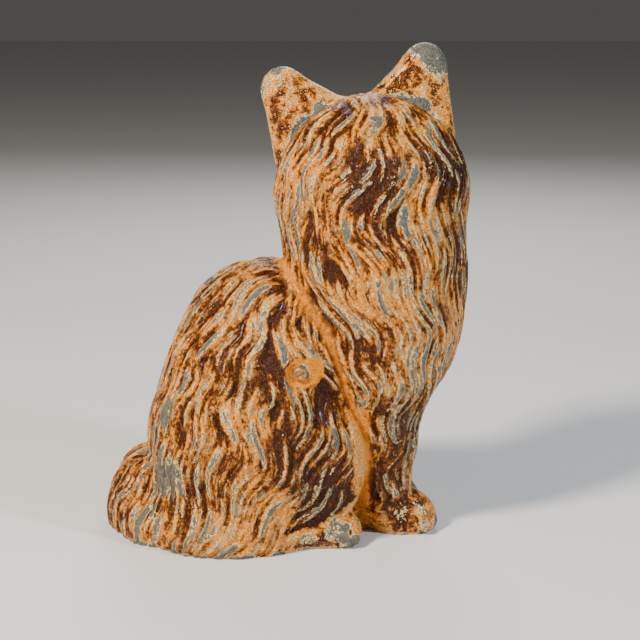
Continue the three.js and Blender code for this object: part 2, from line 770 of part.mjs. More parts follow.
// A round bar across the figure, from y to y + length
function barAcross(diameter, y, length) {
	const bar = new THREE.CylinderGeometry(diameter / 2, diameter / 2, length, SHANK_SIDES);
	return bar.translate(0, y + length / 2, 0).translate(SCREW_PLACE.x, 0, SCREW_PLACE.z);
}

// The recess is a round-ended slot with flared walls, with the screw head at its rear end
function recess() {
	const radius = RECESS_HEIGHT / 2;
	const straight = RECESS_LENGTH - RECESS_HEIGHT;
	const outline = new THREE.Shape();
	outline.absarc(straight, 0, radius, -Math.PI / 2, Math.PI / 2);
	outline.absarc(0, 0, radius, Math.PI / 2, (3 * Math.PI) / 2);
	const depth = RECESS_DEPTH + LOCK_DEPTH;
	const cut = new THREE.ExtrudeGeometry(outline, {
		depth,
		curveSegments: 10,
		bevelEnabled: true,
		bevelSegments: 2,
		bevelSize: RECESS_RIM,
		bevelThickness: RECESS_RIM,
		bevelOffset: -RECESS_RIM,
	});
	cut.rotateX(Math.PI / 2).translate(SCREW_PLACE.x, RECESS_FLOOR - RECESS_RIM, SCREW_PLACE.z);
	return cut;
}

function screw() {
	const headRadius = SCREW_HEAD_DIAMETER / 2;
	const shankRadius = SCREW_SHANK_DIAMETER / 2;
	const dome = new THREE.Path();
	dome.moveTo(0, SCREW_LENGTH);
	dome.lineTo(shankRadius - SCREW_POINT / 2, SCREW_LENGTH);
	dome.lineTo(shankRadius, SCREW_LENGTH - SCREW_POINT);
	dome.lineTo(shankRadius, 0);
	dome.lineTo(headRadius, 0);
	dome.lineTo(headRadius, -SCREW_HEAD_HEIGHT * 0.45);
	dome.quadraticCurveTo(headRadius * 0.85, -SCREW_HEAD_HEIGHT, 0, -SCREW_HEAD_HEIGHT);
	const profile = dome.getPoints(4).reverse();
	const turning = new THREE.LatheGeometry(profile, SHANK_SIDES);
	const slot = new THREE.BoxGeometry(2 * SCREW_HEAD_DIAMETER, 2 * SLOT_DEPTH, SLOT_WIDTH);
	slot.rotateY(THREE.MathUtils.degToRad(-SLOT_ANGLE)).translate(0, -SCREW_HEAD_HEIGHT, 0);
	const made = solidOf(turning).subtract(solidOf(slot));
	return geometryOf(made).translate(SCREW_PLACE.x, SCREW_HEAD_PLACE, SCREW_PLACE.z);
}

// Assembly

// A vertex that lies almost on a cut is moved a little way off it, so that the cut leaves no slivers
function moveOff(cut, value) {
	const apart = value - cut;
	return Math.abs(apart) < CUT_CLEARANCE ? cut + (apart < 0 ? -CUT_CLEARANCE : CUT_CLEARANCE) : value;
}

function wholeCasting() {
	const underside = REACH.min.z + SURFACE_STEP;
	const form = (x, y, z) => Math.max(CAT(x, y, z), underside - z);
	const skin = surfaceOf(form, REACH, SURFACE_STEP);
	carveFur(skin);
	const simple = simplify(skin, TRIANGLES);
	const { position } = simple.attributes;
	for (let i = 0; i < position.count; i++) {
		position.setY(i, moveOff(-SEAM_GAP / 2, moveOff(SEAM_GAP / 2, position.getY(i))));
		position.setZ(i, moveOff(0, position.getZ(i)));
	}
	return solidOf(simple);
}

const iron = (name, geometry, color, roughness, metalness) => {
	const mesh = new THREE.Mesh(geometry, new THREE.MeshStandardMaterial({ color, roughness, metalness }));
	mesh.name = name;
	return mesh;
};

const casting = wholeCasting().subtract(blockBelow());
const nearSide = casting.subtract(blockBeyondSeam(1));
const farSide = casting.subtract(blockBeyondSeam(-1));
const shankEnd = SCREW_HEAD_PLACE + SCREW_LENGTH + BORE_END_SPACE;
const bore = solidOf(barAcross(BORE_DIAMETER, RECESS_FLOOR - 1, shankEnd - RECESS_FLOOR + 1));

const rightHalf = geometryOf(nearSide.subtract(solidOf(recess())).subtract(bore));
const leftHalf = geometryOf(farSide.subtract(bore));

const figure = new THREE.Group();
figure.add(iron('right_half_casting', rightHalf, 0xb07a45, 0.45, 0.2));
figure.add(iron('left_half_casting', leftHalf, 0xa8733f, 0.45, 0.2));
figure.add(iron('joining_screw', screw(), 0x7a6a58, 0.5, 0.6));

// The origin is on the floor, under the middle of the doorstop
const extent = new THREE.Box3().setFromObject(figure);
const middle = extent.getCenter(new THREE.Vector3());
figure.position.set(-middle.x, -middle.y, 0);

const doorstop = new THREE.Group();
doorstop.add(figure);

export default doorstop;
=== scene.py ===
import math
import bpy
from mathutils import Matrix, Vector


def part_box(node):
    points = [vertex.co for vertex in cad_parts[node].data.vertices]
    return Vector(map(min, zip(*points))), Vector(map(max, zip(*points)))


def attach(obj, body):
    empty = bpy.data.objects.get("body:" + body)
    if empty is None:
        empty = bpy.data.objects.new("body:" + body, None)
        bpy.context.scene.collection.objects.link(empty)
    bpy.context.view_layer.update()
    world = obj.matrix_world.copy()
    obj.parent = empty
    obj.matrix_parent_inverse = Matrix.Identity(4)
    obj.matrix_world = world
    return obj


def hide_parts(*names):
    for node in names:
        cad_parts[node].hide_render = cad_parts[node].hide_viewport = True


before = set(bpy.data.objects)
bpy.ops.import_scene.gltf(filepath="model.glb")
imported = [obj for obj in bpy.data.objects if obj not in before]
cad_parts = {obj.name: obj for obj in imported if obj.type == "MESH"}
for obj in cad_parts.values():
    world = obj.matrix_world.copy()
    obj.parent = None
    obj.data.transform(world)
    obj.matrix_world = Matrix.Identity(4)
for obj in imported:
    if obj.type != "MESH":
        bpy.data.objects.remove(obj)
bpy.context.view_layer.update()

from types import SimpleNamespace

import bmesh
import bpy
import numpy as np
import openvdb
from bpy.props import FloatProperty, FloatVectorProperty, IntProperty, PointerProperty
from mathutils import Matrix, Vector

bl_info = {
    "name": "Cast-iron cat doorstop",
    "version": (1, 0, 0),
    "blender": (4, 5, 0),
    "location": "3D View > Sidebar > Doorstop",
    "description": "A long-haired cat cast in iron in two halves, painted and worn",
    "category": "Object",
}

NEAR_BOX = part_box("right_half_casting")
SCREW_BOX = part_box("joining_screw")

# The figure is drawn this many units high, and its forms are given in those units
DRAWN_HEIGHT = 217.6
FIGURE_HEIGHT = 216.0
UNIT = FIGURE_HEIGHT / DRAWN_HEIGHT
MM = 0.001

# The seam between the halves, the screw that holds them and the recess round its head
SEAM_GAP = 0.3
SCREW_X = 4.4 * UNIT
SCREW_Z = 80 * UNIT
SCREW_CLEARANCE = 0.3
BORE_RADIUS = 2.3
BORE_RIM = 2.6
BORE_DEPTH = 60.0
RECESS_DEPTH = 1.6
RECESS_LENGTH = 15.0
RECESS_HEIGHT = 10.5
RECESS_OUTSIDE = 6.0

# Two coats of fur: the size of a lock, its spacing along and across the hair, and its stations
LOCK_DEPTH = 2.7
LOCK_PROUD = 0.9
UNDERCOAT = SimpleNamespace(length=30.0, width=9.5, depth=1.9, along=13.0, across=5.6, stations=9, seed=3)
TOPCOAT = SimpleNamespace(
    length=44.0, width=12.0, depth=LOCK_DEPTH + 0.3, along=27.0, across=8.0, stations=14, seed=7,
)

# The waves in the hair, and how far apart two locks lie in the noise of the streaks
WAVE_LENGTH = 30.0
WAVE_ANGLE = 22.0
STREAK_SHIFT = 5.3

# A distance outside every form
FAR = 50.0

# From the figure's own frame to the frame of the doorstop, in millimetres
SHIFT = np.array([
    (SCREW_BOX[0].x + SCREW_BOX[1].x) / 2 / MM - SCREW_X,
    NEAR_BOX[1].y / MM + SEAM_GAP / 2,
    0.0,
])


def in_mm(values):
    return [value * UNIT for value in values]


def smoothstep(value, low, high):
    share = np.clip((value - low) / (high - low), 0.0, 1.0)
    return share * share * (3 - 2 * share)


# Forms of the cat: each is a function of a point that gives its distance, negative inside

def length_of(x, y, z):
    return np.sqrt(x * x + y * y + z * z)


def turned(degrees):
    cos, sin = math.cos(math.radians(degrees)), math.sin(math.radians(degrees))
    return (lambda u, v: cos * u + sin * v), (lambda u, v: cos * v - sin * u)


def ellipsoid(centre, radii, tilt=0.0):
    cx, cy, cz = in_mm(centre)
    rx, ry, rz = in_mm(radii)
    along, up = turned(tilt)

    def distance(x, y, z):
        ax = along(x - cx, z - cz) / rx
        ay = (y - cy) / ry
        az = up(x - cx, z - cz) / rz
        size = length_of(ax, ay, az)
        slope = length_of(ax / rx, ay / ry, az / rz)
        return size * (size - 1) / np.maximum(slope, 1e-6)

    return distance


def limb(start, start_radius, end, end_radius):
    ax, ay, az = in_mm(start)
    bx, by, bz = in_mm(end)
    ra, rb = in_mm([start_radius, end_radius])
    dx, dy, dz = bx - ax, by - ay, bz - az
    length_squared = dx * dx + dy * dy + dz * dz

    def distance(x, y, z):
        px, py, pz = x - ax, y - ay, z - az
        share = np.clip((px * dx + py * dy + pz * dz) / length_squared, 0, 1)
        return length_of(px - share * dx, py - share * dy, pz - share * dz) - ra - share * (rb - ra)

    return distance


def smooth_min(a, b, blend):
    h = np.maximum(blend - np.abs(a - b), 0) / blend
    return np.minimum(a, b) - h * h * blend / 4


def join(fillet, *forms):
    def distance(x, y, z):
        total = forms[0](x, y, z)
        for form in forms[1:]:
            total = smooth_min(total, form(x, y, z), fillet * UNIT)
        return total

    return distance


def carve(edge, form, hollow):
    return lambda x, y, z: -smooth_min(-form(x, y, z), hollow(x, y, z), edge * UNIT)


def on_both_sides(form):
    return lambda x, y, z: form(x, np.abs(y), z)


def left_and_right(form):
    return lambda x, y, z: form(np.abs(x), y, z)


HEAD_MIDDLE = in_mm([35.4, 1, 157])
HEAD_TILT = 9.5
EYE_SIDE, EYE_UP = 15.5, 3.5


def on_head(form):
    along, up = turned(HEAD_TILT)
    hx, hy, hz = HEAD_MIDDLE
    return lambda x, y, z: form(along(x - hx, z - hz), y - hy, up(x - hx, z - hz))


def body():
    back = ellipsoid([-11.5, 0, 77], [40, 38.5, 46])
    rump = ellipsoid([-25.5, 0, 38], [39.5, 43.5, 54])
    haunch = ellipsoid([-15, 18, 44], [41, 30, 52], -6)
    skirt = ellipsoid([-26, 17, 8], [42, 33, 26])
    thigh = ellipsoid([5, 25, 38], [28, 19, 34], 10)
    belly = ellipsoid([28, 0, 22], [14, 17, 40])
    sides = join(10, join(12, join(14, back, rump), on_both_sides(haunch)), on_both_sides(skirt))
    return join(6, sides, on_both_sides(thigh), belly)


def hind_paw():
    foot = limb([0, 31, 7], 9, [22, 29, 6], 9.5)
    toes = [limb([19, 29 + off, 5], 4.2, [27, 29.5 + off * 1.15, 4], 3.6) for off in (-4.5, 0.2, 4.8)]
    return on_both_sides(join(1.5, foot, *toes))


def chest():
    ruff = ellipsoid([37.5, 0, 124], [40.5, 38.5, 50])
    breast = ellipsoid([44.5, 0, 96], [32, 33, 40])
    shoulder = ellipsoid([42.5, 18, 86], [22, 18, 36])
    return join(8, join(10, ruff, breast), on_both_sides(shoulder))


def foreleg(side, paw_place):
    middle = 11 * side
    leg = limb([42.5, middle, 62], 15.5, [42, middle, 14], 11)
    paw = ellipsoid([paw_place, middle, 6], [15, 10.5, 13])
    toes = []
    for off in (-6, -2, 2, 6):
        knuckle = [paw_place + 4, middle + off, 7]
        tip = [paw_place + 12 - 0.12 * off * off, middle + off * 1.2, 4.5]
        toes.append(limb(knuckle, 4.6, tip, 4))
    return join(1.2, join(6, leg, paw), *toes)


def skull():
    dome = ellipsoid([0, 0, 0], [39.3, 36, 39])
    cheek = left_and_right(ellipsoid([21.5, 4, -5], [20.5, 28, 27]))
    return join(8, dome, cheek)


def face():
    eye = left_and_right(ellipsoid([EYE_SIDE, 29.5, EYE_UP], [6.6, 5.6, 6]))
    bridge = limb([0, 31, 8], 7, [0, 37, -4], 5.5)
    pad = left_and_right(ellipsoid([7, 35, -13], [9.5, 9.5, 8]))
    chin = ellipsoid([0, 34, -22], [8.5, 8, 6.5])
    nose = ellipsoid([0, 42, -6.5], [4.6, 4, 3.6])
    return join(1.2, eye, join(2.2, join(5, bridge, pad), chin), nose)


def head():
    brow = left_and_right(ellipsoid([15, 28, 13], [11, 8, 6]))
    socket = left_and_right(ellipsoid([EYE_SIDE, 37, EYE_UP], [8.5, 6.5, 6.8]))
    return join(2, carve(4, join(6, skull(), brow), socket), face())


def ears():
    outer_edge = limb([32.5, 9, 17], 8, [32, 11, 46.5], 8.5)
    inner_edge = limb([11, 9, 32], 8, [31, 11, 46.5], 8.5)
    web = limb([24, 9, 24], 11, [31, 11, 44.5], 8.5)
    blade = join(4, outer_edge, inner_edge, web)
    hollow = ellipsoid([27.5, 17.5, 37], [8.5, 9, 15], -18)
    return left_and_right(carve(3, lambda x, y, z: blade(x, y * 1.5, z), hollow))


def tail():
    path = [[-50, -8, 20], [-62.5, -4, 13], [-65, 26, 12], [-44, 46, 11], [-12, 55, 10], [18, 50, 8]]
    thickness = [18.5, 18.5, 16.5, 14.5, 12.5, 9]
    lengths = [limb(path[i], thickness[i], path[i + 1], thickness[i + 1]) for i in range(5)]
    corner = limb([-60, -19, 2], 15, [-67, -1, 2], 17)
    return join(8, *lengths, corner)


BODY = body()
CHEST = join(8, chest(), join(4, foreleg(-1, 51), foreleg(1, 45)))
HIND_PAW = hind_paw()
FORE_PAWS = on_both_sides(ellipsoid([48, 11, 6], [18, 11, 14]))
FACE = on_head(face())
EARS = on_head(ears())
CAT = join(
    7,
    join(4, join(3, join(4, BODY, tail()), HIND_PAW), CHEST),
    join(3, on_head(head()), EARS),
)
REACH_LOW = np.array(in_mm([-98, -62, -6]))
REACH_HIGH = np.array(in_mm([94, 80, 226]))


def at(form, points):
    return form(points[:, 0], points[:, 1], points[:, 2])


def unit(vectors):
    return vectors / np.maximum(np.linalg.norm(vectors, axis=1, keepdims=True), 1e-12)


def outward(form, points):
    reach = 0.05
    rise = np.empty_like(points)
    for axis in range(3):
        step = np.zeros(3)
        step[axis] = reach
        rise[:, axis] = at(form, points + step) - at(form, points - step)
    return unit(rise)


def onto_surface(form, points):
    for _ in range(3):
        points = points - outward(form, points) * at(form, points)[:, None]
    return points


# The lie of the fur: places in drawn units, and the way that the hair runs at each
BODY_FLOW = [
    ([-15, 15, 120], [-1, 0.3, -0.35]),
    ([-38, 20, 100], [-0.5, 0.1, -1]),
    ([-12, 38, 98], [-0.35, 0.1, -1]),
    ([12, 36, 95], [0.45, 0, -1]),
    ([-45, 35, 65], [-0.2, 0, -1]),
    ([-15, 45, 60], [0.15, 0, -1]),
    ([12, 42, 62], [-0.35, 0, -1]),
    ([8, 42, 32], [-0.9, 0, -1]),
    ([-20, 48, 12], [-0.8, 0, -1]),
    ([-50, 35, 15], [0.1, 0, -1]),
    ([10, 25, 130], [0.8, 0, -1]),
    ([35, 38, 122], [0.6, 0, -1]),
    ([55, 25, 105], [0.45, 0, -1]),
    ([74, 8, 88], [-0.1, 0, -1]),
    ([50, 25, 80], [-0.25, 0, -1]),
    ([46, 22, 50], [-0.05, 0, -1]),
]
HEAD_FLOW = [
    ([40, 5, 197], [0, -1, -0.1]),
    ([22, -28, 182], [-0.35, -0.3, -1]),
    ([55, -26, 182], [0.35, -0.3, -1]),
    ([5, -25, 160], [-0.3, 0, -1]),
    ([35, -38, 160], [0, 0, -1]),
    ([68, -22, 155], [0.15, 0, -1]),
    ([-3, 0, 145], [0.1, 0, -1]),
    ([72, -10, 118], [0.15, 0, -1]),
    ([36, 34, 182], [0, -0.5, 1]),
    ([8, 28, 150], [-0.8, -0.3, -0.6]),
    ([66, 28, 148], [0.8, -0.3, -0.6]),
    ([37, 40, 122], [0, 0.1, -1]),
]
TAIL_FLOW = [
    ([-75, 0, 22], [-0.5, 0, -1]),
    ([-66, 40, 14], [0.5, 0.9, -0.3]),
    ([-35, 60, 12], [1, 0.3, -0.15]),
    ([5, 62, 10], [1, -0.2, -0.1]),
]
# Whorls of the near side, each of a short reach and a greater weight
NEAR_WHORLS = [
    ([32, -26, 182], [-0.1, -0.3, -1]),
    ([33, -30, 176], [-0.5, -0.1, -1]),
    ([29, -33, 168], [-1, 0, -0.7]),
    ([20, -31, 165], [-1, 0, -0.6]),
    ([14, -29, 157], [-0.2, 0, -1]),
    ([16, -22, 180], [-0.6, -0.3, -1]),
    ([5, -23, 161], [-0.3, 0, -1]),
    ([44, -27, 180], [0.5, -0.3, -1]),
    ([48, -31, 168], [0, 0, -1]),
    ([46, -33, 159], [-0.5, 0, -1]),
    ([59, -22, 176], [0.7, -0.2, -1]),
    ([62, -24, 167], [0, 0, -1]),
    ([61, -26, 160], [-0.5, 0, -1]),
    ([-11, -23, 114], [-1, -0.2, -0.6]),
    ([-22, -25, 110], [-1, -0.1, -0.9]),
    ([-30, -27, 101], [-0.2, 0, -1]),
    ([-12, -36, 95], [-0.3, 0, -1]),
    ([0, -30, 103], [0, 0, -1]),
    ([10, -28, 97], [0.6, 0, -1]),
    ([21, -27, 84], [0.6, 0, -1]),
]
MIRRORED = [([x, -y, z], [u, -v, w]) for (x, y, z), (u, v, w) in BODY_FLOW]
WIDE_GUIDES = BODY_FLOW + MIRRORED + HEAD_FLOW + TAIL_FLOW
GUIDES = WIDE_GUIDES + NEAR_WHORLS
FLOW_PLACES = np.array([in_mm(place) for place, way in GUIDES])
FLOW_WAYS = np.array([np.array(way) / np.linalg.norm(way) for place, way in GUIDES])
WIDE_REACH, WHORL_REACH = 15, 9
WIDE_WEIGHT, WHORL_WEIGHT = 1.0, 3.0
FLOW_REACH = np.array(in_mm([WIDE_REACH] * len(WIDE_GUIDES) + [WHORL_REACH] * len(NEAR_WHORLS)))
FLOW_WEIGHT = np.array([WIDE_WEIGHT] * len(WIDE_GUIDES) + [WHORL_WEIGHT] * len(NEAR_WHORLS))


def hair_way(points, normals):
    """The way the hair runs at points of the skin, swung to and fro so that it lies in waves."""
    gaps = ((points[:, None, :] - FLOW_PLACES[None]) ** 2).sum(2)
    weights = FLOW_WEIGHT * np.exp(-gaps / (2 * FLOW_REACH ** 2)) + 1e-9
    way = weights @ FLOW_WAYS
    way = unit(way - normals * (way * normals).sum(1, keepdims=True))
    x, y, z = points.T / WAVE_LENGTH
    phase = 2 * math.pi * (z + 0.4 * x) + 1.6 * np.sin(x / 0.47) + 1.3 * np.sin(y / 0.37 + z / 0.77)
    angle = math.radians(WAVE_ANGLE) * np.sin(phase)[:, None]
    return way * np.cos(angle) + np.cross(normals, way) * np.sin(angle)


def fur_share(points):
    """How furry each point is, by each thing that leaves it smooth: ears, paws, face, folds and crown."""
    def fade(distance, bare, full):
        return smoothstep(distance, bare * UNIT, full * UNIT)

    ear = fade(at(EARS, points), 0.5, 5)
    paw = fade(np.minimum(at(HIND_PAW, points), at(FORE_PAWS, points)), 0.5, 5)
    muzzle = fade(at(FACE, points), 1, 6)
    fold = fade(np.maximum(at(BODY, points), at(CHEST, points)), 0.5, 5)
    high = smoothstep(points[:, 2], 176 * UNIT, 186 * UNIT)
    crown = 1 - 0.75 * high * smoothstep(np.abs(points[:, 1]), 11 * UNIT, 3 * UNIT)
    return SimpleNamespace(ear=ear, paw=paw, muzzle=muzzle, fold=fold, crown=crown)


def bare_leg(points):
    """How near each point is to the smooth foot, its top edge, the line over it and the haunch's rim."""
    x, y, z = points.T / UNIT
    beside = smoothstep(np.abs(y), 14, 20) * smoothstep(x, 36, 33)
    top = np.interp(x, [-2.2, 4.3, 13, 21.8, 28], [8.8, 10.7, 13.2, 16.8, 21])
    long = smoothstep(x, -5, 1) * beside
    foot = smoothstep(z, top + 1.5, top - 1.0) * long
    ledge = np.exp(-((z - top + 2.4) / 1.9) ** 2) * long
    line = np.exp(-((z - top - 1.4) / 1.2) ** 2) * long * smoothstep(x, 31, 28)
    rim_place = np.interp(z, [12, 24, 38, 48.7, 56.6], [29, 29.5, 29.6, 29.1, 27.4])
    rim = smoothstep(x, rim_place - 2.4, rim_place - 0.4) * smoothstep(z, 64, 56) * beside
    return foot, ledge, line, rim


def seam_groove(points):
    """The worn groove along the meeting edges of the halves, in millimetres."""
    return -0.5 * smoothstep(np.abs(points[:, 1]), 1.1, 0.2)


def lattice_of(counts):
    """Whole-number places of a lattice, the last axis running fastest."""
    return np.stack(np.meshgrid(*(np.arange(count) for count in counts), indexing="ij"), -1).reshape(-1, 3)


def lock_roots(spacing_along, spacing_across):
    """Roots of the locks: a staggered lattice brought onto the skin and thinned to an even spacing."""
    step = 3 * spacing_across / 4
    counts = np.ceil((REACH_HIGH - REACH_LOW) / step).astype(int)
    k, i, j = lattice_of(counts[[2, 0, 1]]).T
    stagger = (k % 2) / 2
    lattice = REACH_LOW + step * np.stack([i + stagger, j + stagger, k], 1)
    lattice = lattice[np.abs(at(CAT, lattice)) <= step * 0.6]
    places = onto_surface(CAT, lattice)
    ways = hair_way(places, outward(CAT, places))
    roots = np.empty((0, 3))
    for place, way in zip(places, ways):
        apart = roots - place
        along = apart @ way
        across = np.linalg.norm(apart - along[:, None] * way, axis=1)
        if np.all((along / spacing_along) ** 2 + (across / spacing_across) ** 2 > 1):
            roots = np.vstack([roots, place])
    return roots


def lock_stations(roots, length, count):
    """Stations of every lock from root to tip: place, direction along, across and outward."""
    point = roots
    stations = []
    for _ in range(count + 1):
        normal = outward(CAT, point)
        along = hair_way(point, normal)
        stations.append(np.stack([point, along, np.cross(normal, along), normal], 1))
        point = onto_surface(CAT, point + along * (length / count))
    return np.stack(stations, 1)


# The recess round the screw head

def skin_across(x, z):
    y = np.array([-FIGURE_HEIGHT / 2])
    for _ in range(60):
        y = y + np.maximum(CAT(np.array([x]), y, np.array([z])), 0) * 0.8
    return float(y[0])


RECESS_FLOOR = skin_across(SCREW_X, SCREW_Z) + RECESS_DEPTH


def recess_reach(x, z):
    """Distance from the rim of the recess, a round-ended slot seen from the side."""
    straight = RECESS_LENGTH - RECESS_HEIGHT
    off = np.clip(x - SCREW_X, 0, straight)
    return np.hypot(x - SCREW_X - off, z - SCREW_Z) - RECESS_HEIGHT / 2


def casting_form(x, y, z):
    """The whole cat before its fur, with the recess and the bore of the screw cut."""
    flare = np.minimum((y - RECESS_FLOOR) * 0.5, 1.2)
    slot = np.maximum(recess_reach(x, z) + flare + 0.6, y - RECESS_FLOOR)
    slot = np.where(y < RECESS_FLOOR + RECESS_OUTSIDE, slot, FAR)
    bore = np.maximum(np.hypot(x - SCREW_X, z - SCREW_Z) - BORE_RADIUS, y - (RECESS_FLOOR + BORE_DEPTH))
    bore = np.where(y < -FIGURE_HEIGHT / 2, FAR, bore)
    cut = np.maximum(carve(1.0, CAT, lambda *_: slot)(x, y, z), -bore)
    underside = REACH_LOW[2] + 2.2
    return np.maximum(cut, underside - z)


def surface_of(form, low, high, step):
    """Points and quads of a form's surface, sampled finely only in the blocks near it."""
    block = 4
    chunk = 400
    outside = 10.0
    blocks = np.ceil((high - low) / (step * block)).astype(int)
    field = np.empty(tuple(blocks * block), np.float32)
    corners = block * lattice_of(blocks)
    middle = at(form, low + (corners + (block - 1) / 2) * step)
    near = np.abs(middle) < block * step * 1.6
    inner = lattice_of([block] * 3)
    tiles = field.reshape(blocks[0], block, blocks[1], block, blocks[2], block).transpose(0, 2, 4, 1, 3, 5)
    values = np.repeat(middle[:, None], block ** 3, 1)
    picked = np.nonzero(near)[0]
    for start in range(0, len(picked), chunk):
        some = picked[start:start + chunk]
        points = low + (corners[some][:, None, :] + inner[None]) * step
        values[some] = at(form, points.reshape(-1, 3)).reshape(len(some), -1)
    tiles[...] = values.reshape(*blocks, block, block, block)
    grid = openvdb.FloatGrid(outside)
    grid.copyFromArray(field)
    points, quads = grid.convertToQuads(0.0)
    return low + np.asarray(points, float) * step, np.asarray(quads, int)


def vertex_normals(points, quads):
    corners = points[quads]
    facing = np.cross(corners[:, 2] - corners[:, 0], corners[:, 3] - corners[:, 1])
    total = np.stack([
        np.bincount(quads.ravel(), np.repeat(facing[:, axis], 4), len(points)) for axis in range(3)
    ], 1)
    return unit(total)


def ease(values, quads, passes=1):
    """Each value becomes the mean of those on the faces around it."""
    count = np.bincount(quads.ravel(), minlength=len(values))
    for _ in range(passes):
        mean = values[quads].mean(1)
        values = np.bincount(quads.ravel(), np.repeat(mean, 4), len(values)) / np.maximum(count, 1)
    return values


def comb_coat(fur, points, normals, coat, least_strands, strand_depth):
    """Raises one coat of locks: each vertex's height, its nearness to a crest and its place in its lock."""
    least_facing, reach_outward = 0.15, 6
    random = np.random.default_rng(coat.seed)
    roots = lock_roots(coat.along, coat.across)
    stations = lock_stations(roots, coat.length, coat.stations)
    step = coat.length / coat.stations
    order = np.argsort(points[:, 2])
    levels = points[order, 2]
    for number, lock in enumerate(stations):
        place, along, across, out = lock[:, 0], lock[:, 1], lock[:, 2], lock[:, 3]
        low, high = place.min(0) - coat.width / 2, place.max(0) + coat.width / 2
        slab = order[np.searchsorted(levels, low[2]):np.searchsorted(levels, high[2])]
        near = slab[((points[slab, :2] > low[:2]) & (points[slab, :2] < high[:2])).all(1)]
        strands = least_strands + int(random.integers(0, 2))
        stature = random.uniform(0.82, 1.1)
        lifts = random.uniform(0.65, 1.1, strands)
        ends = random.uniform(0.78, 1.0, strands)
        if len(near) == 0:
            continue
        gaps = points[near][:, None, :] - place[None]
        nearest = (gaps ** 2).sum(2).argmin(1)
        gap = gaps[np.arange(len(near)), nearest]
        ahead = (gap * along[nearest]).sum(1)
        lift = (gap * out[nearest]).sum(1)
        faces = (normals[near] * out[nearest]).sum(1) > least_facing
        share = (nearest + ahead / step) / coat.stations
        swell = smoothstep(share, -0.3, 0.4)
        taper = np.maximum(1 - smoothstep(share, 0.45, 1.1), 0.05)
        half_width = np.maximum(coat.width / 2 * swell * taper, 0.1)
        sideways = (gap * across[nearest]).sum(1)
        side = np.clip(sideways / half_width, -2, 2)
        inside = faces & (np.abs(side) < 1) & (np.abs(lift) < reach_outward)
        inside &= (np.abs(ahead) < step) & (share > 0)
        rise = smoothstep(share, 0, 0.4)
        tip = 1 - smoothstep(share, 0.84, 1.02)
        comb = (side + 1) / 2 * strands
        strand = np.clip(np.floor(comb).astype(int), 0, strands - 1)
        ridge = 1 - np.minimum(np.abs(2 * (comb - strand) - 1), 1) ** 2.2
        strand_end = 1 - smoothstep(share, ends[strand] - 0.12, ends[strand])
        ridge = ridge * lifts[strand] * (0.3 + 0.7 * strand_end)
        bulk = (coat.depth - strand_depth) * (1 - side ** 4)
        tall = rise * tip * stature * (bulk + strand_depth * ridge)
        better = inside & (tall > fur.height[near])
        chosen = near[better]
        fur.height[chosen] = tall[better]
        fur.crest[chosen] = (ridge * np.sqrt(rise * tip))[better]
        lay = np.stack([sideways, share * coat.length, np.full(len(near), number * STREAK_SHIFT)], 1)
        fur.lay[chosen] = lay[better]


def comb_fur(points, normals, settings):
    """The undercoat of short locks, and the long locks over it."""
    count = len(points)
    fur = SimpleNamespace(height=np.zeros(count), crest=np.zeros(count), lay=np.zeros((count, 3)))
    comb_coat(fur, points, normals, UNDERCOAT, 1, settings.strand_depth * 0.9)
    comb_coat(fur, points, normals, TOPCOAT, settings.strands, settings.strand_depth)
    return fur


# The skin of the whole cat

def head_place(points):
    """Points in the head's own frame, in drawn units: x across the face, y forward, z up."""
    along, up = turned(HEAD_TILT)
    gap = points - HEAD_MIDDLE
    return np.stack([along(gap[:, 0], gap[:, 2]), gap[:, 1], up(gap[:, 0], gap[:, 2])], 1) / UNIT


def face_relief(points):
    """Lids, nostrils and mouth in millimetres, with how near each point is to the front and to an eye's rim."""
    x, y, z = head_place(points).T
    front = smoothstep(y, 20, 26)
    side = np.abs(x)
    ring = np.hypot((side - EYE_SIDE) / 6.8, (z - EYE_UP) / 5.4)
    lid = 0.9 * np.exp(-((ring - 1.0) / 0.13) ** 2)
    ball = -0.25 * np.exp(-((ring - 0.78) / 0.1) ** 2)
    mouth = -0.9 * np.exp(-(x / 0.9) ** 2) * smoothstep(z, -17.5, -16) * smoothstep(z, -8.5, -10)
    smile = -0.9 * np.exp(-((z + 17.5 - 0.045 * (side - 1) ** 2) / 0.9) ** 2) * smoothstep(side, 12, 8)
    nostril = -0.7 * np.exp(-((side - 2.6) ** 2 + (z + 8.2) ** 2) / 1.1)
    return front * (lid + ball + mouth + smile + nostril), front, ring


def toe_lines(points):
    """The lines between the toes, sunk in the sides of the paws, in millimetres."""
    x, y, z = points.T / UNIT
    total = np.zeros(len(points))
    for paw, places in ((FORE_PAWS, (50.5, 57.5)), (HIND_PAW, (20.0, 27.5))):
        on_paw = smoothstep(at(paw, points), 3.0, 1.5) * smoothstep(z, 12, 8)
        for place in places:
            total = np.maximum(total, on_paw * np.exp(-((x - place - 0.3 * (5 - z)) / 0.75) ** 2))
    return -0.8 * total * smoothstep(np.abs(y), 11, 14)


def pupil_share(points):
    x, y, z = head_place(points).T
    return 1 - smoothstep(np.hypot((np.abs(x) - EYE_SIDE) / 2.1, (z - EYE_UP) / 4.2), 0.85, 1.05)


def nose_share(points):
    x, y, z = head_place(points).T
    return (1 - smoothstep(np.hypot(x / 4.4, (z + 6) / 2.9), 0.8, 1.05)) * smoothstep(y, 36, 39)


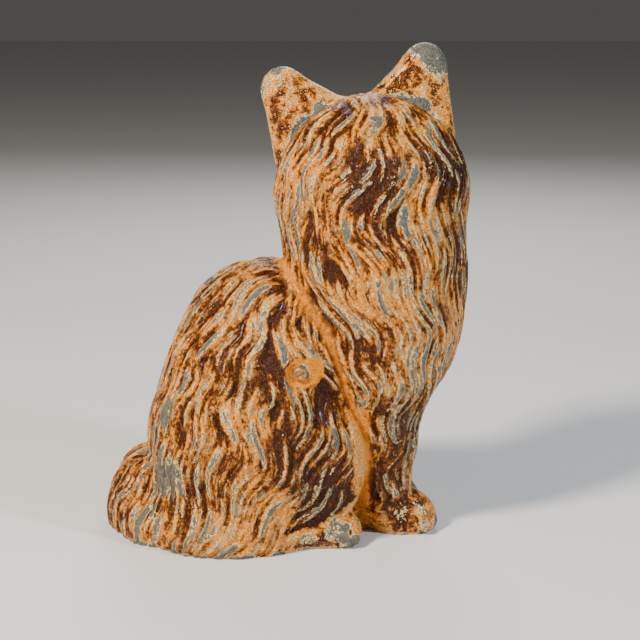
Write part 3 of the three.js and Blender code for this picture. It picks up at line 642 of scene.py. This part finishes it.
# Places where the paint has gone down to the iron: middle and reach, in drawn units, and how much
WORN_PLACES = [
    ([63, 3, 211], 9, 1.0),
    ([12.6, 1.4, 189.6], 3.4, 1.1),
    ([36.5, -23, 186], 3, 1.0),
    ([-52, -35, 33], 10, 0.9),
    ([-59, -30, 29], 8, 0.8),
    ([-6.5, 3, 204], 5, 0.3),
    ([-9.5, 3, 197], 4, 0.35),
    ([-62, -33, 13.5], 7, 0.7),
    ([-55, -28, 61], 7, 0.7),
    ([-53, -29, 55], 5, 0.6),
    ([48, 3, 193], 6, 0.5),
    ([56, 3, 191], 5, 0.5),
    ([61, -14, 7], 5, 0.6),
    ([27, -37, 6], 4, 0.35),
    ([20, -38, 10], 6, 0.9),
    ([8, -41, 6], 5, 0.8),
    ([56, -18, 10], 4, 0.8),
    ([50, -22, 12], 4, 0.5),
    ([22, -40, 52], 5, 0.5),
    ([19, -40, 45], 4, 0.5),
]
# Places where the glaze is made thick, and, below nought, thin: partly the glaze's own patches, partly painted
# shade on the right and lower side and in the valley, and painted light on the upper left
GLAZE_AND_PAINTED_SHADE_PLACES = [
    ([34, -33, 163], 15, 1.0),
    ([70, -16, 166], 17, 1.1),
    ([72, -12, 122], 15, 1.0),
    ([46, -22, 56], 18, 1.3),
    ([40, -26, 28], 12, 0.8),
    ([18, -36, 78], 8, 1.2),
    ([14, -40, 64], 8, 0.9),
    ([-4, -42, 48], 11, 1.0),
    ([-40, -40, 22], 12, 0.5),
    ([5, -24, 160], 15, -0.5),
    ([30, -30, 120], 16, -0.9),
    ([-25, -30, 100], 14, -0.4),
    ([-20, -44, 62], 14, -0.6),
    ([12, -42, 27], 13, 1.0),
    ([-3, -45, 22], 7, -1.0),
    ([12, -40, 6], 10, 1.3),
    ([50, -22, 10], 9, 0.6),
    ([-25, -46, 8], 10, -0.6),
]


def near_places(points, places):
    """How near each point is to places of a reach, each with its weight."""
    total = np.zeros(len(points))
    for place, reach, weight in places:
        gap = np.linalg.norm(points - np.array(in_mm(place)), axis=1)
        total += weight * smoothstep(gap, reach * 1.35 * UNIT, reach * 0.45 * UNIT)
    return total


def shape_skin(settings):
    """The whole skin of the cat in the doorstop's own place, with the facts that its finish needs."""
    points, quads = surface_of(casting_form, REACH_LOW, REACH_HIGH, settings.grain)
    normals = vertex_normals(points, quads)
    share = fur_share(points)
    foot, ledge, line, rim = bare_leg(points)
    bare = 1 - np.maximum(foot, rim)
    fur = np.minimum.reduce([share.ear, share.paw, share.muzzle, share.fold, share.crown, bare])
    slot = recess_reach(points[:, 0], points[:, 2])
    near_side = points[:, 1] < RECESS_FLOOR + RECESS_OUTSIDE
    bored = np.hypot(points[:, 0] - SCREW_X, points[:, 2] - SCREW_Z) < BORE_RIM
    fur = fur * np.where(near_side, smoothstep(slot, -0.6, 0.9), np.where(bored, 0.0, 1.0))
    combed = comb_fur(points, normals, settings)
    height = 0.5 * combed.height + 0.5 * ease(combed.height, quads)
    crest = 0.6 * combed.crest + 0.4 * ease(combed.crest, quads)
    features, front, ring = face_relief(points)
    features += toe_lines(points) + 0.4 * ledge - 1.0 * line
    # Painted shade: darker glaze in the sunken lines of face and paws, the groove over the hind foot and the
    # fold round each eye
    painted_groove_shade = 3.0 * smoothstep(-features, 0.3, 0.7) + 2.2 * front * np.exp(-((ring - 1.12) / 0.14) ** 2)
    push = fur * (height + LOCK_PROUD - LOCK_DEPTH) + features + seam_groove(points)
    shaped = points + normals * push[:, None] + SHIFT
    smooth = np.stack([ease(points[:, axis], quads, passes=14) for axis in range(3)], 1)
    proud = ((points - smooth) * normals).sum(1)
    uncombed = combed.height == 0
    combed.lay[uncombed] = points[uncombed][:, [0, 2, 1]]
    facts = {
        "crest": crest * fur,
        "fur": fur,
        "fold": 1 - share.fold,
        "recess": np.where(near_side, 1 - smoothstep(slot, -1.0, 3.2), 0.0),
        "edge": smoothstep(proud, 0.12, 0.5) * (1 - fur) * (0.2 + 0.8 * share.muzzle),
        "seam": smoothstep(np.abs(points[:, 1]), 1.6, 0.5),
        "spot": near_places(points, WORN_PLACES),
        # Thicker glaze at the listed places and in the grooves, partly painted shade; thinner on the foot's top
        # edge and the haunch's rim
        "shade": near_places(points, GLAZE_AND_PAINTED_SHADE_PLACES) + painted_groove_shade - 2.0 * ledge - 1.8 * rim,
        "foot": smoothstep(points[:, 2], 2.4, 0.8),
        # More glaze low between the locks: glaze settled in the valleys, and painted shade of them
        "valley_glaze_and_shade": smoothstep(fur * (height + 0.2), 1.3, 0.3) * fur,
        "eye": np.where(front > 0.5, 1 - smoothstep(ring, 0.9, 1.0), 0.0),
        "pupil": np.where(front > 0.5, pupil_share(points), 0.0),
        "nose": nose_share(points),
    }
    return shaped, quads, facts, combed.lay


# Meshes, objects, and the two halves cut from the whole cat

def mesh_from(bm, name):
    mesh = bpy.data.meshes.new(name)
    bm.to_mesh(mesh)
    bm.free()
    return mesh


def placed(name, data):
    """A new object with this data, linked to the scene."""
    thing = bpy.data.objects.new(name, data)
    bpy.context.scene.collection.objects.link(thing)
    return thing


def cut_flat(bm, place, facing):
    """Cuts away all beyond a plane and closes the cut with flat faces."""
    geometry = bm.verts[:] + bm.edges[:] + bm.faces[:]
    cut = bmesh.ops.bisect_plane(
        bm, geom=geometry, dist=0.00008, plane_co=place, plane_no=facing,
        use_snap_center=True, clear_outer=True,
    )
    rim = [edge for edge in cut["geom_cut"] if isinstance(edge, bmesh.types.BMEdge)]
    rim = [edge for edge in rim if edge.is_boundary]
    for edge in rim:
        edge.smooth = False
    filled = bmesh.ops.triangle_fill(bm, use_beauty=False, use_dissolve=False, edges=rim, normal=facing)
    for face in (item for item in filled["geom"] if isinstance(item, bmesh.types.BMFace)):
        face.smooth = False
        face.material_index = 1


def half_of(whole, name, side):
    """One half of the casting: the part on one side of the seam, closed along it."""
    bm = bmesh.new()
    bm.from_mesh(whole)
    seam = (SHIFT[1] + side * SEAM_GAP / 2) * MM
    cut_flat(bm, Vector((0, seam, 0)), Vector((0, -side, 0)))
    bmesh.ops.delete(bm, geom=[vert for vert in bm.verts if not vert.link_faces], context="VERTS")
    return placed(name, mesh_from(bm, name))


def mesh_of(name, points, quads, facts, lay):
    mesh = bpy.data.meshes.new(name)
    mesh.from_pydata((points * MM).tolist(), [], quads.tolist())
    for fact, values in facts.items():
        layer = mesh.attributes.new(fact, "FLOAT", "POINT")
        layer.data.foreach_set("value", values.astype(np.float32))
    layer = mesh.attributes.new("lay", "FLOAT_VECTOR", "POINT")
    layer.data.foreach_set("vector", lay.astype(np.float32).ravel())
    mesh.polygons.foreach_set("use_smooth", np.ones(len(quads), bool))
    return mesh


# Finishes

class Finish:
    """A material in the making: its nodes are added and joined by short calls."""

    def __init__(self, name):
        self.material = bpy.data.materials.new(name)
        self.material.use_nodes = True
        self.tree = self.material.node_tree
        self.tree.nodes.clear()
        self.shader = self.tree.nodes.new("ShaderNodeBsdfPrincipled")
        output = self.tree.nodes.new("ShaderNodeOutputMaterial")
        self.put(output.inputs["Surface"], self.shader.outputs[0])
        self.place = self.node("ShaderNodeTexCoord", "Object", {})

    def put(self, socket, value):
        if isinstance(value, bpy.types.NodeSocket):
            self.tree.links.new(value, socket)
        else:
            socket.default_value = value

    def node(self, kind, output, inputs, **settings):
        """Adds a node, feeds its inputs by name or number, and gives one of its outputs."""
        node = self.tree.nodes.new(kind)
        for name, value in settings.items():
            setattr(node, name, value)
        for socket, value in inputs.items():
            self.put(node.inputs[socket], value)
        return node.outputs[output]

    def fact(self, name, output="Fac"):
        return self.node("ShaderNodeAttribute", output, {}, attribute_name=name)

    def math(self, operation, *values):
        return self.node("ShaderNodeMath", 0, dict(enumerate(values)), operation=operation)

    def total(self, *terms):
        """The sum of values, each with its weight."""
        result = None
        for value, weight in terms:
            part = self.math("MULTIPLY", value, weight)
            result = part if result is None else self.math("ADD", result, part)
        return result

    def step(self, value, low, high):
        inputs = {"Value": value, "From Min": low, "From Max": high}
        return self.node("ShaderNodeMapRange", "Result", inputs, interpolation_type="SMOOTHSTEP")

    def blend(self, share, under, over):
        """Between two values, as mix is between two colours."""
        return self.node("ShaderNodeMix", 0, {0: share, 2: under, 3: over}, data_type="FLOAT")

    def mix(self, share, under, over):
        return self.node("ShaderNodeMix", 2, {0: share, 6: under, 7: over}, data_type="RGBA")

    def scaled(self, vector, scale):
        return self.node("ShaderNodeVectorMath", 0, {0: vector, 1: scale}, operation="MULTIPLY")

    def noise(self, scale, detail=2.0, roughness=0.5, vector=None):
        """Noise over the place on the object, or over another vector."""
        inputs = {"Scale": scale, "Detail": detail, "Roughness": roughness}
        inputs["Vector"] = self.place if vector is None else vector
        return self.node("ShaderNodeTexNoise", "Fac", inputs)

    def bump(self, height, distance, strength):
        inputs = {"Height": height, "Distance": distance, "Strength": strength}
        return self.node("ShaderNodeBump", "Normal", inputs)

    def finish(self, **sockets):
        for name, value in sockets.items():
            self.put(self.shader.inputs[name.replace("_", " ")], value)
        return self.material


def painted_iron(look):
    """Cast iron under cream primer, tan paint and a dark glaze, worn through on the ridges of the fur; the
    glaze thickens in the fur's valleys, in grooves and at listed places, which also paints their shade.
    """
    f = Finish("worn_painted_iron")
    lay = f.fact("lay", "Vector")
    crest, valley_glaze_and_shade, fur = f.fact("crest"), f.fact("valley_glaze_and_shade"), f.fact("fur")
    edge, seam, spot, foot = f.fact("edge"), f.fact("seam"), f.fact("spot"), f.fact("foot")
    smooth = f.math("SUBTRACT", 1.0, fur)
    peak = f.math("POWER", crest, 3.0)

    patches = f.noise(130.0, 3.0, 0.6)
    blots = f.noise(210.0, 4.0, 0.65)
    flecks = f.noise(620.0, 3.0, 0.65)
    specks = f.noise(1300.0, 2.0, 0.6)
    wide = f.noise(26.0, 2.0)
    streaks = f.blend(smooth, f.noise(1.0, 3.0, 0.62, f.scaled(lay, (0.62, 0.09, 1.0))), blots)
    threads = f.blend(smooth, f.noise(1.0, 3.0, 0.6, f.scaled(lay, (0.60, 0.075, 2.1))), blots)

    wear = f.total(
        (peak, 0.50), (streaks, 0.85), (patches, 0.55), (flecks, 0.6), (specks, 0.4),
        (edge, 0.42), (seam, 0.36), (spot, 0.40), (foot, 0.30), (smooth, 0.12),
    )
    # More glaze off the crests, in the valleys and at the shade places: partly the glaze itself, partly painted
    # shade
    glaze = f.total(
        (crest, -0.30), (threads, 0.9), (blots, 0.35), (flecks, 0.5), (specks, 0.3), (wide, 0.4),
        (f.fact("shade"), 0.13), (valley_glaze_and_shade, 0.08), (edge, -0.15), (smooth, -0.25),
    )
    primed_from = look.bare_from - look.primer_width
    bare = f.step(wear, look.bare_from, look.bare_from + 0.02)
    primed = f.step(wear, primed_from, primed_from + 0.02)
    recess = f.step(f.total((f.fact("recess"), 1.0), (blots, 1.6), (streaks, 1.3)), 2.02, 2.10)
    orange = f.math("MAXIMUM", f.math("MULTIPLY", f.fact("fold"), 0.95), recess)
    open_paint = f.math("SUBTRACT", 1.0, orange)
    thin = f.math("MULTIPLY", f.step(glaze, look.glaze_from, look.glaze_from + 0.03), open_paint)
    thick = f.math("MULTIPLY", f.step(glaze, look.glaze_from + 0.06, look.glaze_from + 0.16), open_paint)

    fine = f.total((flecks, 0.6), (specks, 0.4))
    speckled = f.mix(f.step(patches, 0.42, 0.60), look.orange_paint, look.tan_paint)
    speckled = f.mix(f.step(specks, 0.40, 0.32), speckled, look.amber_glaze)
    speckled = f.mix(f.step(specks, 0.56, 0.62), speckled, look.primer)
    ochre = f.mix(f.step(fine, 0.50, 0.60), look.orange_paint, look.honey_glaze)
    color = f.mix(orange, speckled, ochre)
    color = f.mix(f.fact("eye"), color, look.eye_paint)
    color = f.mix(f.fact("nose"), color, look.nose_paint)
    honey = f.math("MULTIPLY", f.step(glaze, look.glaze_from - 0.09, look.glaze_from - 0.02), open_paint)
    color = f.mix(f.math("MULTIPLY", honey, 0.45), color, look.honey_glaze)
    color = f.mix(thin, color, look.amber_glaze)
    treacle = f.mix(f.step(specks, 0.54, 0.70), look.dark_glaze, look.amber_glaze)
    color = f.mix(thick, color, treacle)
    color = f.mix(f.fact("pupil"), color, look.dark_glaze)
    color = f.mix(primed, color, look.primer)
    dark_iron = tuple(channel * 0.5 for channel in look.bare_iron[:3]) + (1,)
    iron = f.mix(f.step(fine, 0.42, 0.58), dark_iron, look.bare_iron)
    color = f.mix(bare, color, iron)

    gloss = f.total((specks, 0.3), (orange, 0.35), (bare, 0.08), (thick, -0.10))
    rough = f.math("ADD", gloss, look.roughness)
    pebbles = f.math("MULTIPLY", f.noise(480.0, 1.0), orange)
    layers = f.total(
        (specks, 0.8), (flecks, 0.8), (pebbles, 1.2), (thick, 0.3), (primed, -0.5), (bare, -0.4),
    )
    normal = f.bump(layers, 0.0008, 1.0)
    return f.finish(
        Base_Color=color, Roughness=rough, Normal=normal,
        Coat_Weight=look.coat, Coat_Roughness=0.08, IOR=1.5, Specular_IOR_Level=0.18,
    )


RAW_IRON = (0.07, 0.06, 0.05, 1)
RAW_RUST = (0.14, 0.075, 0.04, 1)


def bare_casting():
    """The flat faces of the seam and the underside: dull dark iron that was never painted."""
    f = Finish("bare_cast_iron")
    patches = f.noise(60.0, 4.0)
    grain = f.noise(900.0, 3.0, 0.6)
    color = f.mix(f.step(patches, 0.4, 0.65), RAW_IRON, RAW_RUST)
    rough = f.math("ADD", f.math("MULTIPLY", grain, 0.3), 0.5)
    return f.finish(Base_Color=color, Roughness=rough, Normal=f.bump(grain, 0.0003, 0.5), Metallic=0.3)


def screw_steel(look):
    """The steel of the screw, browned with age and painted over at its edges."""
    f = Finish("aged_screw_steel")
    patches = f.noise(420.0, 3.0)
    grain = f.noise(1500.0, 3.0, 0.6)
    steel = f.mix(f.step(patches, 0.40, 0.50), look.bare_iron, look.tan_paint)
    color = f.mix(f.step(grain, 0.50, 0.62), steel, look.amber_glaze)
    rough = f.math("ADD", f.math("MULTIPLY", grain, 0.3), 0.3)
    return f.finish(Base_Color=color, Roughness=rough, Normal=f.bump(grain, 0.0002, 0.5), Metallic=0.4)


# The screw

def turned_bar(bm, profile, sides):
    """A solid of revolution about the Y axis, from (radius, y) pairs that start and end on the axis."""
    rings = []
    for radius, y in profile:
        if radius == 0:
            rings.append([bm.verts.new((0, y, 0))])
            continue
        angles = [2 * math.pi * side / sides for side in range(sides)]
        rings.append([bm.verts.new((radius * math.cos(a), y, radius * math.sin(a))) for a in angles])
    for ring, following in zip(rings, rings[1:]):
        for side in range(sides):
            other = (side + 1) % sides
            corners = [ring[side % len(ring)], following[side % len(following)]]
            corners += [following[other % len(following)], ring[other % len(ring)]]
            unique = list(dict.fromkeys(corners))
            bm.faces.new(unique)
    bmesh.ops.recalc_face_normals(bm, faces=bm.faces)


def make_screw(size):
    """A slotted dome-headed screw with its shank along Y."""
    head, shank = size.head_diameter / 2 / MM, size.shank_diameter / 2 / MM
    dome = size.head_height / MM
    length = size.length / MM
    chamfer, point_length, point_taper = 0.12, 1.2, 0.6
    profile = [(0, -dome)]
    for share in (0.25, 0.5, 0.72, 0.88, 0.97):
        profile.append((head * share, -dome * (0.42 + 0.58 * math.sqrt(1 - share ** 2.4))))
    profile += [(head, -dome * 0.45), (head, -chamfer), (head - chamfer, 0), (shank, 0)]
    profile += [(shank, length - point_length), (shank - point_taper, length), (0, length)]
    bm = bmesh.new()
    turned_bar(bm, profile, sides=40)
    mesh = mesh_from(bm, "joining_screw_body")
    piece = placed("slotted_joining_screw", mesh)
    cut = bmesh.new()
    bmesh.ops.create_cube(cut, size=1)
    turn = Matrix.Rotation(-size.slot_angle, 4, "Y")
    stretch = Matrix.Diagonal((12, 2 * size.slot_depth / MM, size.slot_width / MM, 1))
    cut.transform(Matrix.Translation((0, -dome, 0)) @ turn @ stretch)
    tool_mesh = mesh_from(cut, "slot_cut")
    tool = placed("slot_cut", tool_mesh)
    slot = piece.modifiers.new("slot", "BOOLEAN")
    slot.object, slot.operation, slot.solver = tool, "DIFFERENCE", "EXACT"
    edge = piece.modifiers.new("edge", "BEVEL")
    edge.width, edge.segments, edge.limit_method, edge.angle_limit = 0.1, 2, "ANGLE", math.radians(50)
    depsgraph = bpy.context.evaluated_depsgraph_get()
    made = bpy.data.meshes.new_from_object(piece.evaluated_get(depsgraph))
    piece.modifiers.clear()
    bpy.data.objects.remove(tool)
    bpy.data.meshes.remove(tool_mesh)
    place = (SCREW_X + SHIFT[0], RECESS_FLOOR - SCREW_CLEARANCE + SHIFT[1], SCREW_Z)
    made.transform(Matrix.Scale(MM, 4) @ Matrix.Translation(place))
    made.name = "slotted_joining_screw"
    made.shade_smooth()
    made.set_sharp_from_angle(angle=math.radians(35))
    piece.data = made
    bpy.data.meshes.remove(mesh)
    return piece


# The stage

# Each light's place and size in metres, its share of the key light's power, and its colour
LIGHTS = {
    "key_light": ((-0.65, -0.6, 0.85), 0.22, 1.0, (1.0, 0.92, 0.82)),
    "side_light": ((0.8, -0.5, 0.6), 0.1, 0.34, (0.72, 0.86, 1.0)),
    "back_light": ((0.1, 0.9, 0.8), 0.6, 0.25, (0.95, 0.97, 1.0)),
}
AIR_COLOR = (1.0, 0.97, 0.94, 1)
AIR_STRENGTH = 0.08
LOOKED_AT_X, LOOKED_AT_Z = 13, 95


def pale_floor(color):
    f = Finish("pale_floor")
    haze = f.noise(6.0, 2.0)
    shade = tuple(channel * 0.96 for channel in color[:3]) + (1,)
    return f.finish(Base_Color=f.mix(haze, color, shade), Roughness=0.75)


def soft_light(name, place, target, size, power, color):
    light = bpy.data.lights.new(name, "AREA")
    light.shape, light.size, light.energy, light.color = "DISK", size, power, color
    lamp = placed(name, light)
    lamp.location = place
    lamp.rotation_euler = (Vector(target) - Vector(place)).to_track_quat("-Z", "Y").to_euler()


def floor_mesh(name):
    reach = 6.0
    corners = [(-reach, -reach, 0), (reach, -reach, 0), (reach, reach, 0), (-reach, reach, 0)]
    mesh = bpy.data.meshes.new(name)
    mesh.from_pydata(corners, [], [(0, 1, 2, 3)])
    return mesh


# Settings that a user may change

class CastingSettings(bpy.types.PropertyGroup):
    grain: FloatProperty(
        name="Surface step", description="How fine the carved skin is, in millimetres", default=0.79,
    )
    strands: IntProperty(
        name="Strands", description="Least number of strands in a lock of fur", default=2,
    )
    strand_depth: FloatProperty(
        name="Strand depth", description="Depth of the grooves between strands, in millimetres",
        default=1.9,
    )
    tan_paint: FloatVectorProperty(
        name="Tan paint", description="Base coat",
        default=(0.70, 0.315, 0.072, 1), size=4, subtype="COLOR",
    )
    orange_paint: FloatVectorProperty(
        name="Orange paint", description="Base coat where it is least faded",
        default=(0.82, 0.255, 0.004, 1), size=4, subtype="COLOR",
    )
    dark_glaze: FloatVectorProperty(
        name="Dark glaze", description="Deepest brown of the glaze",
        default=(0.038, 0.0075, 0.0008, 1), size=4, subtype="COLOR",
    )
    honey_glaze: FloatVectorProperty(
        name="Honey glaze", description="The glaze where it is thinnest",
        default=(0.46, 0.155, 0.006, 1), size=4, subtype="COLOR",
    )
    amber_glaze: FloatVectorProperty(
        name="Amber glaze", description="The glaze where it is thin",
        default=(0.21, 0.052, 0.003, 1), size=4, subtype="COLOR",
    )
    primer: FloatVectorProperty(
        name="Primer", description="Cream coat under the paint",
        default=(1.0, 0.72, 0.34, 1), size=4, subtype="COLOR",
    )
    bare_iron: FloatVectorProperty(
        name="Bare iron", description="Grey metal where the paint has gone",
        default=(0.175, 0.162, 0.125, 1), size=4, subtype="COLOR",
    )
    eye_paint: FloatVectorProperty(
        name="Eye paint", description="Colour of the eyes",
        default=(0.50, 0.30, 0.02, 1), size=4, subtype="COLOR",
    )
    nose_paint: FloatVectorProperty(
        name="Nose paint", description="Colour of the nose",
        default=(0.20, 0.06, 0.035, 1), size=4, subtype="COLOR",
    )
    primer_width: FloatProperty(
        name="Primer width", description="Breadth of the primer round bare iron", default=0.085,
    )
    bare_from: FloatProperty(name="Bare from", description="Wear at which the iron shows", default=1.625)
    glaze_from: FloatProperty(name="Glaze from", description="Level at which the glaze begins", default=1.0)
    roughness: FloatProperty(name="Roughness", description="Least roughness of the paint", default=0.18)
    coat: FloatProperty(
        name="Clear coat", description="Weight of the clear coat", default=0.10, subtype="FACTOR",
    )


class ScrewSettings(bpy.types.PropertyGroup):
    head_diameter: FloatProperty(
        name="Head", description="Diameter of the head", default=0.0058, unit="LENGTH",
    )
    head_height: FloatProperty(
        name="Head height", description="Height of the head", default=0.002, unit="LENGTH",
    )
    shank_diameter: FloatProperty(
        name="Shank", description="Diameter of the shank", default=0.004, unit="LENGTH",
    )
    length: FloatProperty(name="Length", description="Length below the head", default=0.058, unit="LENGTH")
    slot_width: FloatProperty(
        name="Slot width", description="Width of the slot", default=0.0009, unit="LENGTH",
    )
    slot_depth: FloatProperty(
        name="Slot depth", description="Depth of the slot", default=0.001, unit="LENGTH",
    )
    slot_angle: FloatProperty(
        name="Slot angle", description="Turn of the slot from level",
        default=math.radians(30), subtype="ANGLE",
    )


class StageSettings(bpy.types.PropertyGroup):
    floor_color: FloatVectorProperty(
        name="Floor", description="Colour of the floor",
        default=(0.80, 0.78, 0.75, 1), size=4, subtype="COLOR",
    )
    camera_distance: FloatProperty(
        name="Distance", description="Camera to cat", default=0.65, unit="LENGTH",
    )
    camera_pitch: FloatProperty(
        name="Pitch", description="Camera's angle down", default=math.radians(13), subtype="ANGLE",
    )
    lens: FloatProperty(name="Lens", description="Focal length in millimetres", default=81.2)
    key_power: FloatProperty(name="Key light", description="Power of the key light in watts", default=23.5)


class DoorstopSettings(bpy.types.PropertyGroup):
    casting: PointerProperty(type=CastingSettings)
    screw: PointerProperty(type=ScrewSettings)
    stage: PointerProperty(type=StageSettings)


# Operators

class OBJECT_OT_cat_castings(bpy.types.Operator):
    """Make the two painted halves of the cat and close them along the seam"""

    bl_idname = "object.cat_castings"
    bl_label = "Cat castings"

    def execute(self, context):
        settings = context.scene.doorstop.casting
        whole = mesh_of("whole_cat", *shape_skin(settings))
        bm = bmesh.new()
        bm.from_mesh(whole)
        cut_flat(bm, Vector((0, 0, 0)), Vector((0, 0, -1)))
        bm.to_mesh(whole)
        bm.free()
        paint, raw = painted_iron(settings), bare_casting()
        for name, node, side in (
            ("carved_right_half", "right_half_casting", -1),
            ("carved_left_half", "left_half_casting", 1),
        ):
            piece = half_of(whole, name, side)
            piece.data.materials.append(paint)
            piece.data.materials.append(raw)
            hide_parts(node)
            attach(piece, "root")
        bpy.data.meshes.remove(whole)
        return {"FINISHED"}


class OBJECT_OT_cat_screw(bpy.types.Operator):
    """Make the slotted screw that joins the halves"""

    bl_idname = "object.cat_screw"
    bl_label = "Joining screw"

    def execute(self, context):
        settings = context.scene.doorstop
        piece = make_screw(settings.screw)
        piece.data.materials.clear()
        piece.data.materials.append(screw_steel(settings.casting))
        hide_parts("joining_screw")
        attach(piece, "root")
        return {"FINISHED"}


class SCENE_OT_cat_stage(bpy.types.Operator):
    """Lay the pale floor and place the studio lights and the camera"""

    bl_idname = "scene.cat_stage"
    bl_label = "Stage"

    def execute(self, context):
        settings = context.scene.doorstop.stage
        floor = placed("pale_floor", floor_mesh("pale_floor"))
        floor.data.materials.append(pale_floor(tuple(settings.floor_color)))

        target = Vector((LOOKED_AT_X * UNIT + SHIFT[0], SHIFT[1], LOOKED_AT_Z * UNIT)) * MM
        back = Vector((0, -math.cos(settings.camera_pitch), math.sin(settings.camera_pitch)))
        camera = placed("camera", bpy.data.cameras.new("camera"))
        camera.data.lens = settings.lens
        camera.location = target + back * settings.camera_distance * UNIT
        camera.rotation_euler = (-back).to_track_quat("-Z", "Y").to_euler()
        context.scene.camera = camera

        for name, (place, size, share, color) in LIGHTS.items():
            soft_light(name, place, target, size, settings.key_power * share, color)
        world = bpy.data.worlds.new("studio")
        world.use_nodes = True
        background = world.node_tree.nodes["Background"]
        background.inputs["Color"].default_value = AIR_COLOR
        background.inputs["Strength"].default_value = AIR_STRENGTH
        context.scene.world = world
        return {"FINISHED"}


class VIEW3D_PT_cat_doorstop(bpy.types.Panel):
    """Lists the steps that make the doorstop"""

    bl_label = "Cat doorstop"
    bl_idname = "VIEW3D_PT_cat_doorstop"
    bl_space_type = "VIEW_3D"
    bl_region_type = "UI"
    bl_category = "Doorstop"

    def draw(self, context):
        layout = self.layout
        settings = context.scene.doorstop
        for operator, group in (
            (OBJECT_OT_cat_castings, settings.casting),
            (OBJECT_OT_cat_screw, settings.screw),
            (SCENE_OT_cat_stage, settings.stage),
        ):
            box = layout.box()
            box.operator(operator.bl_idname)
            for name in group.__annotations__:
                box.prop(group, name)


CLASSES = (
    CastingSettings, ScrewSettings, StageSettings, DoorstopSettings,
    OBJECT_OT_cat_castings, OBJECT_OT_cat_screw, SCENE_OT_cat_stage, VIEW3D_PT_cat_doorstop,
)


def register():
    for item in CLASSES:
        bpy.utils.register_class(item)
    bpy.types.Scene.doorstop = PointerProperty(type=DoorstopSettings)


def unregister():
    del bpy.types.Scene.doorstop
    for item in reversed(CLASSES):
        bpy.utils.unregister_class(item)


def main():
    register()
    bpy.ops.scene.cat_stage()
    bpy.ops.object.cat_castings()
    bpy.ops.object.cat_screw()


if __name__ == "__main__":
    main()
